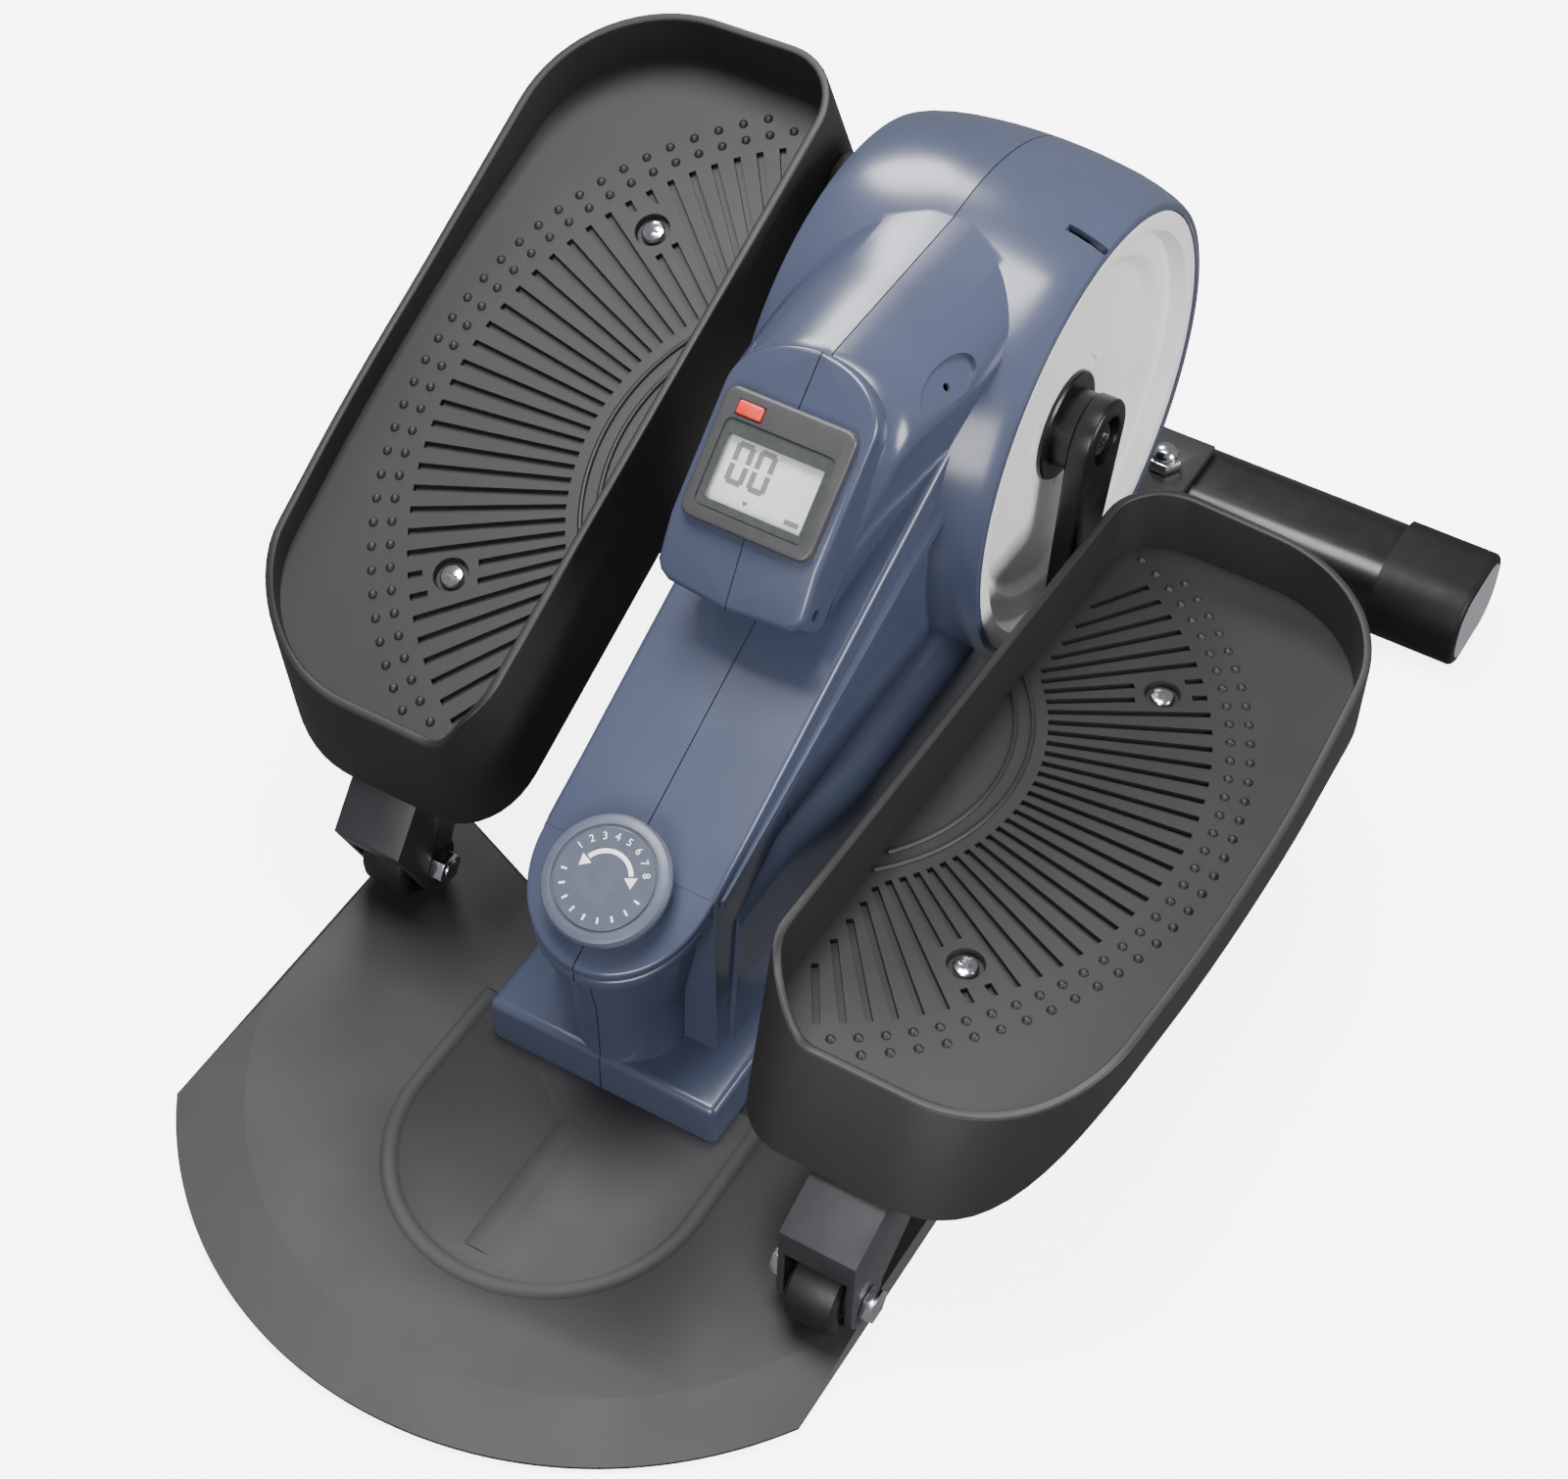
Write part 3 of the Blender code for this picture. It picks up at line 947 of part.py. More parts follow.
    head = slab_x(hexagon((0, 0), AXLE_BOLT_HEAD), *sorted((
        middle + sign * (half + GAP), middle + sign * (half + GAP + AXLE_BOLT_HEAD_THICK))))
    shank = rod(x_axis, (middle, 0, 0), AXLE_BOLT_RADIUS, -half - AXLE_NUT_THICK - MM, half + MM)
    nut = slab_x(hexagon((0, 0), AXLE_BOLT_HEAD), *sorted((
        middle - sign * (half + GAP), middle - sign * (half + GAP + AXLE_NUT_THICK))))
    piece("roller_axle_" + side, shaped(head, join(shank, nut)), mats["chrome"], carriage)


def build():
    for obj in list(bpy.data.objects):
        bpy.data.objects.remove(obj, do_unlink=True)
    mats = {name: material(name, colour, rough, metal) for name, colour, rough, metal in (
        ("shell", (0.13, 0.16, 0.26), 0.25, 0.2),
        ("cover", (0.62, 0.64, 0.68), 0.35, 0.3),
        ("steel_dark", (0.05, 0.05, 0.055), 0.5, 0.5),
        ("steel_grey", (0.16, 0.17, 0.18), 0.45, 0.6),
        ("steel", (0.45, 0.46, 0.48), 0.35, 1.0),
        ("cast", (0.2, 0.2, 0.21), 0.5, 0.9),
        ("chrome", (0.75, 0.76, 0.78), 0.12, 1.0),
        ("crank", (0.018, 0.018, 0.02), 0.35, 0.2),
        ("pulley", (0.06, 0.06, 0.07), 0.5, 0.0),
        ("rubber", (0.02, 0.02, 0.02), 0.8, 0.0),
        ("roller", (0.03, 0.03, 0.033), 0.6, 0.0),
        ("tray", (0.018, 0.018, 0.02), 0.45, 0.0),
        ("tube_black", (0.02, 0.02, 0.022), 0.3, 0.3),
        ("cap_black", (0.015, 0.015, 0.016), 0.5, 0.0),
        ("knob", (0.2, 0.22, 0.25), 0.4, 0.0),
        ("label", (0.17, 0.19, 0.22), 0.35, 0.0),
        ("bezel", (0.14, 0.14, 0.14), 0.35, 0.0),
        ("lens", (0.5, 0.52, 0.5), 0.05, 0.0),
        ("display", (0.42, 0.46, 0.4), 0.4, 0.0),
        ("board", (0.02, 0.12, 0.05), 0.5, 0.0),
        ("button", (0.5, 0.02, 0.02), 0.35, 0.0),
    )}
    build_plate(mats)
    build_shells(mats)
    build_covers(mats)
    build_console(mats)
    build_knob(mats)
    build_frame(mats)
    build_stabilizer(mats)
    build_crank(mats)
    build_flywheel(mats)
    build_brake(mats)
    for side, sign in SIDES:
        build_pedal(side, sign, mats)


build()
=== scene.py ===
# %% [markdown]
# An under-desk elliptical stepper: two black foot trays roll on a base plate and push the cranks of
# a blue-grey body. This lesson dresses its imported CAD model. The CAD gives every size and every
# joint, so each piece made here is written in the same metres and simply lands in its place.

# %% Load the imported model
import json
import math
import bmesh
import bpy
from bmesh import ops
from bmesh.types import BMEdge, BMFace, BMVert
from mathutils import Matrix, Vector


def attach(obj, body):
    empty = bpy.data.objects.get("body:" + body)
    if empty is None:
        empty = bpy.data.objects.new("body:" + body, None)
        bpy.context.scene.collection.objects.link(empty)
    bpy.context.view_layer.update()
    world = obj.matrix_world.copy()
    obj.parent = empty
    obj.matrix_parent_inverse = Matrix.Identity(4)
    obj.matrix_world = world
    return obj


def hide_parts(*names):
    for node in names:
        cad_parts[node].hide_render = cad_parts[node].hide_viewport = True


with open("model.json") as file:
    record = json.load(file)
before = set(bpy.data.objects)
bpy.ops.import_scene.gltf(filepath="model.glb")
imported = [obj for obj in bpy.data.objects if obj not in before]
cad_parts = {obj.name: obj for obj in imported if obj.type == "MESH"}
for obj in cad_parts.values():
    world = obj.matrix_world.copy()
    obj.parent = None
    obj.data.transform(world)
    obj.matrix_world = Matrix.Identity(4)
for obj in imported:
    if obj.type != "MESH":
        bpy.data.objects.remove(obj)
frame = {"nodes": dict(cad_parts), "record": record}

MM = 0.001
SIDES = (("left", -1), ("right", 1))
X, Y, Z = Vector((1, 0, 0)), Vector((0, 1, 0)), Vector((0, 0, 1))
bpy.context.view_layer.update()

# %% [markdown]
# The camera stands in front, to the right and well above the machine. Its place and lens were solved
# from shapes whose real form is known, such as the round drum rim and the level rollers. Writing its
# axes as a matrix keeps the solved roll, which a track-to constraint would lose.

# %% Camera
RIGHT = Vector((0.859074, 0.511785, 0.008228))
DOWN = Vector((0.386699, -0.638407, -0.665508))
AHEAD = Vector((-0.335344, 0.574902, -0.746345))
SPOT = Vector((0.41482, -0.70881, 1.00183))
FOCAL_PIXELS, PHOTO_WIDTH, SENSOR = 3117.3, 1600, 36


def link(obj):
    bpy.context.scene.collection.objects.link(obj)
    return obj


lens = bpy.data.cameras.new("photo_camera")
lens.sensor_fit = "HORIZONTAL"
lens.sensor_width = SENSOR
lens.lens = FOCAL_PIXELS / PHOTO_WIDTH * SENSOR
camera = link(bpy.data.objects.new("photo_camera", lens))
turn = Matrix((RIGHT, -DOWN, -AHEAD)).transposed().to_4x4()
camera.matrix_world = Matrix.Translation(SPOT) @ turn
bpy.context.scene.camera = camera
print("lens %.1f mm" % lens.lens)

# %% [markdown]
# Every finish needs a few shader nodes and colours. Colours are written as sRGB hex codes, the way a
# paint program shows them, and one function turns them to the linear values that a shader works with.
# One more function adds a node, sets its options and fills or links its sockets.

# %% Colour and node helpers
def linear(code):
    shades = [int(code[i:i + 2], 16) / 255 for i in (1, 3, 5)]
    return tuple(c / 12.92 if c <= 0.04045 else ((c + 0.055) / 1.055) ** 2.4 for c in shades) + (1,)


def add(tree, kind, sockets=None, **options):
    made = tree.nodes.new(kind)
    for name, value in options.items():
        setattr(made, name, value)
    for name, value in (sockets or {}).items():
        if isinstance(value, bpy.types.NodeSocket):
            tree.links.new(value, made.inputs[name])
        else:
            made.inputs[name].default_value = value
    return made


print("black plastic, linear:", [round(c, 4) for c in linear("#1c1b1b")[:3]])

# %% [markdown]
# Nearly every surface here is a moulded plastic or a painted metal. What tells them apart is the size
# of their grain, how much their gloss wanders and how large their colour patches are. So one recipe
# takes those three real sizes in millimetres: cloudy patches mix two near colours, a second noise
# moves the roughness, and a fine noise raises the grain as bump.

# %% Surface recipe
def surface(name, light, dark, rough, patch, grain, relief, **shader):
    mat = bpy.data.materials.new(name)
    mat.use_nodes = True
    tree = mat.node_tree
    skin = tree.nodes["Principled BSDF"]
    for socket, value in shader.items():
        skin.inputs[socket.replace("_", " ").title().replace("Ior", "IOR")].default_value = value
    place = add(tree, "ShaderNodeTexCoord").outputs["Object"]

    def noise(scale, detail):
        sockets = {"Vector": place, "Scale": scale, "Detail": detail}
        return add(tree, "ShaderNodeTexNoise", sockets).outputs["Fac"]

    tint = add(tree, "ShaderNodeValToRGB", {"Fac": noise(1 / (patch * MM), 3.0)})
    for stop, spot, code in zip(tint.color_ramp.elements, (0.35, 0.65), (dark, light)):
        stop.position, stop.color = spot, linear(code)
    tree.links.new(tint.outputs["Color"], skin.inputs["Base Color"])
    gloss = add(tree, "ShaderNodeMapRange", {"Value": noise(1.7 / (patch * MM), 4.0), "From Min": 0.3,
                                             "From Max": 0.7, "To Min": rough[0], "To Max": rough[1]})
    tree.links.new(gloss.outputs["Result"], skin.inputs["Roughness"])
    bump = add(tree, "ShaderNodeBump", {"Height": noise(1 / (grain * MM), 2.0), "Distance": relief * MM,
                                        "Strength": 1.0})
    tree.links.new(bump.outputs["Normal"], skin.inputs["Normal"])
    return mat


# %% [markdown]
# The finishes, named for what they really are. Gloss ABS shows broad mirror streaks with a hint of
# orange peel. Grained polypropylene is nearly black and drinks the light. Powder coat is a little
# rougher, with pinhead bumps. Plated steel mirrors everything. The finest grains are drawn coarser
# than life, at about half a millimetre, because the picture could not show them otherwise.

# %% Finishes
FINISH = {
    # gloss moulded ABS with a pearly blue-grey pigment
    "shell": surface("abs_blue_grey_gloss", "#40465a", "#3d4356", (0.21, 0.26), 60, 8.0, 0.0006,
                     ior=1.5, coat_weight=0.1, coat_roughness=0.12),
    # satin light grey ABS of the round side covers
    "cover": surface("abs_pale_grey_satin", "#eceaeb", "#e8e6e7", (0.3, 0.4), 40, 1.2, 0.006, ior=1.5),
    # dark grey powder coat on pressed steel
    "steel_dark": surface("powder_coat_dark_grey", "#262627", "#242425", (0.54, 0.58), 50, 0.8, 0.02,
                          ior=1.42),
    # grey enamel on the folded roller brackets
    "steel_grey": surface("enamel_mid_grey", "#2f2f32", "#2c2c2f", (0.36, 0.46), 20, 1.0, 0.012, ior=1.5),
    # bare turned steel of shafts and bearings
    "steel": surface("turned_steel", "#b4b6b9", "#9fa2a6", (0.29, 0.4), 6, 0.5, 0.01, metallic=1.0),
    # machined grey iron
    "cast": surface("machined_iron", "#6b6b6d", "#57575a", (0.4, 0.6), 8, 0.7, 0.03, metallic=1.0),
    # bright zinc-chrome plating of screws, bolts and nuts
    "chrome": surface("bright_plating", "#e4e5e7", "#cfd1d4", (0.08, 0.2), 3, 0.5, 0.004, metallic=1.0),
    # satin black paint on the forged crank
    "crank": surface("paint_satin_black", "#121213", "#101011", (0.28, 0.4), 15, 0.9, 0.01, ior=1.45),
    # dull nylon of the drive pulley
    "pulley": surface("nylon_dull_black", "#3a3a3c", "#303032", (0.5, 0.6), 10, 0.6, 0.01),
    # vulcanised rubber of belt, pads and cable sheath
    "rubber": surface("rubber_black", "#242424", "#1b1b1b", (0.7, 0.85), 8, 0.5, 0.02),
    # hard black wheel plastic
    "roller": surface("nylon_black_wheel", "#161617", "#131314", (0.4, 0.55), 6, 0.6, 0.012),
    # grained black polypropylene of the trays
    "tray": surface("polypropylene_grained_black", "#1e1d1d", "#1c1b1b", (0.5, 0.53), 40, 0.6, 0.015,
                    ior=1.46),
    # gloss black paint on the stabilizer tube
    "tube_black": surface("paint_gloss_black", "#131314", "#111112", (0.28, 0.33), 20, 0.8, 0.003, ior=1.45),
    # matt black moulded caps and bushes
    "cap_black": surface("plastic_matt_black", "#101011", "#0e0e0f", (0.5, 0.6), 12, 0.6, 0.015, ior=1.32),
    # painted reflection: pale grey plates on the flat ends of the black stabilizer caps, for the light they
    # catch
    "cap_grey": surface("plastic_satin_grey", "#85868a", "#808185", (0.35, 0.45), 12, 0.6, 0.012),
    # soft grey knob plastic
    "knob": surface("abs_grey_knob", "#4f5564", "#4b5160", (0.35, 0.45), 12, 0.7, 0.012),
    # grey dial disc
    "label": surface("dial_grey_satin", "#484e5c", "#454b58", (0.3, 0.4), 8, 0.6, 0.006),
    # grey satin frame around the display
    "bezel": surface("abs_grey_bezel", "#3e3e3f", "#3b3b3c", (0.34, 0.44), 10, 0.6, 0.01),
    # reflective grey-green back of a liquid crystal display
    "display": surface("display_pale_grey", "#d9dbd5", "#d2d4cd", (0.3, 0.4), 12, 0.5, 0.002),
    # fibreglass circuit board
    "board": surface("circuit_board_green", "#1f6a3c", "#18552f", (0.4, 0.55), 5, 0.6, 0.02),
    # red moulded push button
    "button": surface("abs_red_button", "#e03c32", "#d6342b", (0.29, 0.36), 4, 0.6, 0.006),
    # white printing ink of the dial
    "ink": surface("ink_white", "#f2f2f0", "#e8e8e6", (0.4, 0.5), 3, 0.5, 0.003),
    # dark segments of the display and the shaded frame around it
    "segment": surface("display_segment_dark", "#3a3f3e", "#333837", (0.4, 0.5), 3, 0.5, 0.002),
    # clear acrylic of the display window
    "lens": surface("acrylic_clear_window", "#f4f6f4", "#eef0ee", (0.03, 0.06), 15, 2.0, 0.001,
                    ior=1.49, alpha=0.08),
}
print("finishes:", len(FINISH))

# %% [markdown]
# Shaping tools. A turned part is a profile spun about an axis, a slab is an outline pushed through a
# distance, and a block is a box with or without rounded edges. Each one is built from bmesh operators,
# so the shapes stay clean and closed. Sizes are in millimetres.

# %% Shaping helpers
def only(items, kind):
    return [item for item in items if isinstance(item, kind)]


def closed(bm):
    ops.remove_doubles(bm, verts=bm.verts[:], dist=1e-6)
    ops.recalc_face_normals(bm, faces=bm.faces[:])
    return bm


def placed(bm, matrix):
    ops.transform(bm, matrix=matrix, verts=bm.verts[:])
    return closed(bm)


def turned(profile, axis, centre, steps, ring=False):
    """Spin (along, radius) points about an axis; the centre is in metres."""
    axis, centre = Vector(axis), Vector(centre)
    side = Z if abs(axis.z) < 0.5 else X
    bm = bmesh.new()
    spots = [bm.verts.new(centre + axis * along * MM + side * radius * MM) for along, radius in profile]
    for a, b in zip(spots, spots[1:] + spots[:1] if ring else spots[1:]):
        bm.edges.new((a, b))
    ops.spin(bm, geom=bm.verts[:] + bm.edges[:], cent=centre, axis=axis, angle=2 * math.pi,
             steps=steps, use_merge=True)
    return closed(bm)


def rod(low, high, radius, axis, centre, steps):
    return turned([(low, 0), (low, radius), (high, radius), (high, 0)], axis, centre, steps)


def drill(spot, axis, radius, depth, steps=20):
    return rod(-depth, depth, radius, Vector(axis).normalized(), Vector(spot) * MM, steps)


def pushed(bm, faces, push):
    grown = ops.extrude_face_region(bm, geom=faces)["geom"]
    ops.translate(bm, verts=only(grown, BMVert), vec=Vector(push) * MM)
    return bm


def slab(outline, start, push):
    """Fill an outline of points and push it through a distance."""
    bm = bmesh.new()
    face = bm.faces.new([bm.verts.new(start(u * MM, v * MM)) for u, v in outline])
    return closed(pushed(bm, [face], push))


def sideways(outline, x, push):
    return slab(outline, lambda y, z: (x * MM, y, z), (push, 0, 0))


def upward(outline, z, push):
    return slab(outline, lambda x, y: (x, y, z * MM), (0, 0, push))


def across(outline, half):
    return sideways(outline, -half, 2 * half)


def arc(centre, radius, first, last, steps):
    turns = [first + (last - first) * i / steps for i in range(steps + 1)]
    return [(centre[0] + radius * math.cos(t), centre[1] + radius * math.sin(t)) for t in turns]


def two_sided(half):
    return [(-x, r) for x, r in half[::-1]] + half[1:]


def round_off(bm, edges, radius, segments=4):
    ops.bevel(bm, geom=list(edges), offset=radius * MM, offset_type="OFFSET", segments=segments,
              profile=0.5, affect="EDGES", clamp_overlap=True, material=-1)
    return closed(bm)


def sharp(bm, angle=30):
    limit = math.radians(angle)
    return [e for e in bm.edges if len(e.link_faces) == 2 and e.calc_face_angle() > limit]


def running(bm, axis):
    """The edges that run along an axis."""
    return [e for e in bm.edges if abs((e.verts[1].co - e.verts[0].co).normalized().dot(axis)) > 0.999]


def block(low, high, radius=0.0, segments=3):
    bm = bmesh.new()
    cube = ops.create_cube(bm, size=1.0)["verts"]
    size = Vector(high) - Vector(low)
    ops.scale(bm, verts=cube, vec=size * MM)
    ops.translate(bm, verts=cube, vec=(Vector(low) + Vector(high)) / 2 * MM)
    return round_off(bm, bm.edges[:], radius, segments) if radius else bm


def bisect(bm, spot, normal, **keep):
    """Cut along a plane and give the new edges."""
    cut = ops.bisect_plane(bm, geom=bm.verts[:] + bm.edges[:] + bm.faces[:],
                           plane_co=Vector(spot) * MM, plane_no=normal, **keep)["geom_cut"]
    return only(cut, BMEdge)


# %% [markdown]
# Solids are joined and cut with Booleans, in one stack of modifiers. A finished solid becomes a piece: it
# gets a finish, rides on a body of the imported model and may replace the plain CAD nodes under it.

# %% Joining helpers and pieces
def as_mesh(bm, name="work"):
    mesh = bpy.data.meshes.new(name)
    bm.to_mesh(mesh)
    bm.free()
    return mesh


def combined(base, steps):
    """Join and cut solids: steps are (operation, solid) in order."""
    solids = [base] + [solid for _, solid in steps]
    objects = [link(bpy.data.objects.new("work", as_mesh(bm))) for bm in solids]
    for (operation, _), tool in zip(steps, objects[1:]):
        step = objects[0].modifiers.new("step", "BOOLEAN")
        step.operation, step.solver, step.object = operation, "EXACT", tool
    graph = bpy.context.evaluated_depsgraph_get()
    result = bmesh.new()
    result.from_mesh(bpy.data.meshes.new_from_object(objects[0].evaluated_get(graph)))
    for obj in objects:
        bpy.data.objects.remove(obj, do_unlink=True)
    ops.remove_doubles(result, verts=result.verts[:], dist=1e-6)
    ops.dissolve_degenerate(result, edges=result.edges[:], dist=1e-6)
    return result


def joined(base, *solids):
    return combined(base, [("UNION", solid) for solid in solids])


def cut(base, *solids):
    return combined(base, [("DIFFERENCE", solid) for solid in solids])


def piece(name, bm, body, finish, *nodes, slot="", smooth=32):
    """A finished piece; the slot argument is not used."""
    slot = slot or finish
    mesh = as_mesh(bm, name)
    mesh.materials.append(FINISH[finish])
    mesh.shade_smooth()
    mesh.set_sharp_from_angle(angle=math.radians(smooth))
    obj = link(bpy.data.objects.new(name, mesh))
    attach(obj, body)
    if nodes:
        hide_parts(*nodes)
    mesh.calc_loop_triangles()
    print("%s: %d triangles" % (name, len(mesh.loop_triangles)))
    return obj


# %% [markdown]
# The machine stands on a plain pale floor in soft studio light: a key behind it on the left, a soft box
# overhead, one on the right and a fill in front, with a weak pale surround. The floor is lit from within
# like a light table. Only the camera sees it, so it sends no light up into the housing.

# %% Floor and light
FLOOR_HALF, FLOOR_GLOW, SURROUND = 40.0, 5.0, 0.26
AIM = Vector((0, 0.05, 0.1))
LIGHTS = (("back_left_key", (-1.3, 1.6, 1.9), 0.8, 44), ("overhead_soft_box", (-0.25, 0.08, 2.2), 1.0, 74),
          ("right_soft_box", (2.0, 0.2, 1.0), 1.0, 58), ("front_fill", (0.4, -2.0, 1.0), 1.0, 40))
bm = bmesh.new()
ops.create_grid(bm, x_segments=2, y_segments=2, size=FLOOR_HALF)
ops.translate(bm, verts=bm.verts[:], vec=(0, 0, -0.2 * MM))
floor = link(bpy.data.objects.new("studio_floor", as_mesh(bm, "studio_floor")))
floor.data.materials.append(surface("floor_paper_white", "#f6f6f5", "#f4f4f3", (0.7, 0.8), 400, 3.0, 0.01,
                                    emission_color=(1, 1, 1, 1), emission_strength=FLOOR_GLOW))
floor.visible_glossy = False
floor.visible_diffuse = False
for name, spot, size, power in LIGHTS:
    data = bpy.data.lights.new(name, "AREA")
    data.size, data.energy = size, power
    lamp = link(bpy.data.objects.new(name, data))
    lamp.location = spot
    lamp.rotation_euler = (AIM - lamp.location).to_track_quat("-Z", "Y").to_euler()
world = bpy.data.worlds.new("studio_surround")
bpy.context.scene.world = world
world.use_nodes = True
world.node_tree.nodes["Background"].inputs["Color"].default_value = linear("#f4f6fa")
world.node_tree.nodes["Background"].inputs["Strength"].default_value = SURROUND
print("lights:", len(LIGHTS))

# %% [markdown]
# The base plate is pressed steel sheet with a round front. Its border slopes to the floor, and a wide
# U-shaped bead and a short middle rib stiffen it. The bead is cut with a round bar bent into a U: one
# circle spun half a turn, then both ends pushed straight back. The bend where the border begins is
# marked sharp, because it is too slight to count as an edge.

# %% Base plate
PLATE_HALF, PLATE_RADIUS, PLATE_ARC_Y = 143.0, 172.4, -129.7
PLATE_REAR_Y, WAIST_X, WAIST_Y = -41.0, 85.0, -64.0
PLATE_LOW, PLATE_EDGE, PLATE_TOP, PLATE_SLOPE, PLATE_INSET = 2.5, 4.0, 6.0, 27.0, 2.5
BEAD_RADIUS, BEAD_BAR, BEAD_Y, BEAD_DEPTH, BEAD_LEG = 64.0, 9.0, -172.0, 0.9, 52.0
RIB_RADIUS, RIB_HEIGHT, RIB_FRONT, RIB_REAR = 30.0, 0.6, -225.0, -159.0


def plate_rim(bm, inset, front, height):
    radius, half = PLATE_RADIUS - front, PLATE_HALF - inset
    swing = math.asin(half / radius)
    first = bm.verts.new(Vector((-half, PLATE_ARC_Y - radius * math.cos(swing), height)) * MM)
    centre = (0, PLATE_ARC_Y * MM, height * MM)
    ops.spin(bm, geom=[first], cent=centre, axis=Z, angle=2 * swing, steps=72)
    bm.verts.ensure_lookup_table()
    chain = [v for v in bm.verts if abs(v.co.z - height * MM) < 1e-6]
    rear, waist = PLATE_REAR_Y - inset, WAIST_Y - inset
    for x, y in ((half, rear), (WAIST_X, waist), (-WAIST_X, waist), (-half, rear)):
        chain.append(bm.verts.new(Vector((x, y, height)) * MM))
        bm.edges.new(chain[-2:])
    return [bm.edges.get(pair) or bm.edges.new(pair) for pair in zip(chain, chain[1:] + chain[:1])]


plate = bmesh.new()
LEVELS = ((0, 0, PLATE_LOW), (0, 0, PLATE_EDGE), (PLATE_INSET, PLATE_SLOPE, PLATE_TOP))
loops = [plate_rim(plate, *level) for level in LEVELS]
for low, high in zip(loops, loops[1:]):
    ops.bridge_loops(plate, edges=low + high)
for loop in (loops[0], loops[-1]):
    ops.edgeloop_fill(plate, edges=loop)
bead = bmesh.new()
ops.create_circle(bead, segments=48, radius=BEAD_BAR * MM, cap_ends=True)
lift = PLATE_TOP + BEAD_BAR - BEAD_DEPTH
upright = Matrix.Translation(Vector((BEAD_RADIUS, BEAD_Y, lift)) * MM) @ Matrix.Rotation(math.pi / 2, 4, "X")
ops.transform(bead, matrix=upright, verts=bead.verts[:])
cap = bead.faces[:]
last = ops.spin(bead, geom=cap, cent=(0, BEAD_Y * MM, lift * MM), axis=Z, angle=-math.pi,
                steps=40)["geom_last"]
for end in (cap, only(last, BMFace)):
    pushed(bead, end, (0, BEAD_LEG, 0))
    ops.delete(bead, geom=end, context="FACES_ONLY")
rib = rod(RIB_FRONT, RIB_REAR, RIB_RADIUS, Y, Z * (PLATE_TOP + RIB_HEIGHT - RIB_RADIUS) * MM, 128)
ops.edgeloop_fill(rib, edges=bisect(rib, (0, 0, PLATE_TOP - 1), Z, clear_inner=True))
pressed = combined(closed(plate), [("UNION", closed(rib)), ("DIFFERENCE", closed(bead))])
pressed = piece("base_plate_pressed", pressed, "chassis", "steel_dark", "base_plate").data
for edge in pressed.edges:
    ends = [pressed.vertices[i].co / MM for i in edge.vertices]
    aside = [abs(math.hypot(v.x, v.y - PLATE_ARC_Y) - PLATE_RADIUS + PLATE_SLOPE) for v in ends]
    if min(v.z for v in ends) > PLATE_TOP - 0.01 and max(aside) < 0.05:
        edge.use_edge_sharp = True

# %% [markdown]
# The body is a two-part gloss moulding: a big drum around the crank, a barrel-backed hood, a straight
# neck down to a round nose with two slanted rings, flanks that draw in towards the nose, and a low
# skirt. Each of these is first made as its own solid. They are joined, hollowed with the same set drawn
# 3 mm smaller, and split down the middle. So each function here takes a wall: 0 for the outside.

# %% Body: sizes and simple solids
AXLE = (150.7, 155.7)
HUB = Vector((0, AXLE[0] * MM, AXLE[1] * MM))
WALL, SEAM, SEAM_DEPTH, SPLIT = 3.0, 0.25, 1.2, 0.004
KNOB, CONSOLE = (-121.8, 114.7), (-28.0, 217.5)
NECK_ANGLE, CONSOLE_ANGLE = math.radians(27.5), math.radians(42.4)
NECK_UP = Vector((0, -math.sin(NECK_ANGLE), math.cos(NECK_ANGLE)))
CONSOLE_PLACE = (Matrix.Translation((0, CONSOLE[0] * MM, CONSOLE[1] * MM))
                 @ Matrix.Rotation(CONSOLE_ANGLE, 4, "X"))
DRUM_HALF, COVER_SEAT = 57.4, 95.8
DRUM_EDGE = [(0, 107.5), (9, 107.3), (18, 106.85), (27, 106.0), (36, 104.9), (44, 103.3), (51.4, 101.2),
             (55.2, 99.6), (56.8, 98.7), (DRUM_HALF, 97.6)]
BODY_HALF, BODY_REAR = 52.8, 215.0
NECK_HALF, NECK_FRONT, NECK_LOW, NECK_REAR, NECK_END = 38.0, -112.0, 15.0, 114.9, 75.5
FLANK_LOW, FLANK_TOP, FLANK_ROUND, FLANK_TAPER = 20.0, 116.0, 11.0, 0.24
SKIRT_FRONT, SKIRT_LOW, SKIRT_TOP = -138.2, 6.3, 27.0


def flat(bm):
    """Cut bent faces into flat triangles, which a Boolean needs."""
    ops.triangulate(bm, faces=bm.faces[:])
    return closed(bm)


def share(value):
    return min(1, max(0, value))


def ease(low, high, part):
    part = share(part)
    return low + (high - low) * part * part * (3 - 2 * part)


def slope(y):
    return KNOB[1] + (y - KNOB[0]) * math.tan(NECK_ANGLE)


def lengthwise(bm, spots):
    """Edges that run along the sides of a slab, between the given (y, z) spots."""
    wanted = [Vector(spot) * MM for spot in spots]
    level = [e for e in bm.edges if abs(e.verts[0].co.x - e.verts[1].co.x) < 1e-6]
    return [e for e in level if all(min((v.co.yz - w).length for w in wanted) < 1e-5 for v in e.verts)]


def drum(wall):
    edge = [(x, r - wall) for x, r in DRUM_EDGE]
    if wall:
        edge = edge[:-3] + [(DRUM_HALF - wall, COVER_SEAT), (DRUM_HALF + wall, COVER_SEAT)]
    return turned(two_sided(edge + [(edge[-1][0], 0)]), X, HUB, 144)


def neck(wall):
    drop = wall / math.cos(NECK_ANGLE)
    front, rear, low = NECK_FRONT + wall, NECK_REAR - wall, NECK_LOW + wall
    outline = [(front, low), (rear, low), (rear, AXLE[1]), (NECK_END, slope(NECK_END) - drop),
               (front, slope(front) - drop)]
    bm = across(outline, NECK_HALF - wall)
    return bm if wall else round_off(bm, lengthwise(bm, outline[2:]), 2.4, 4)


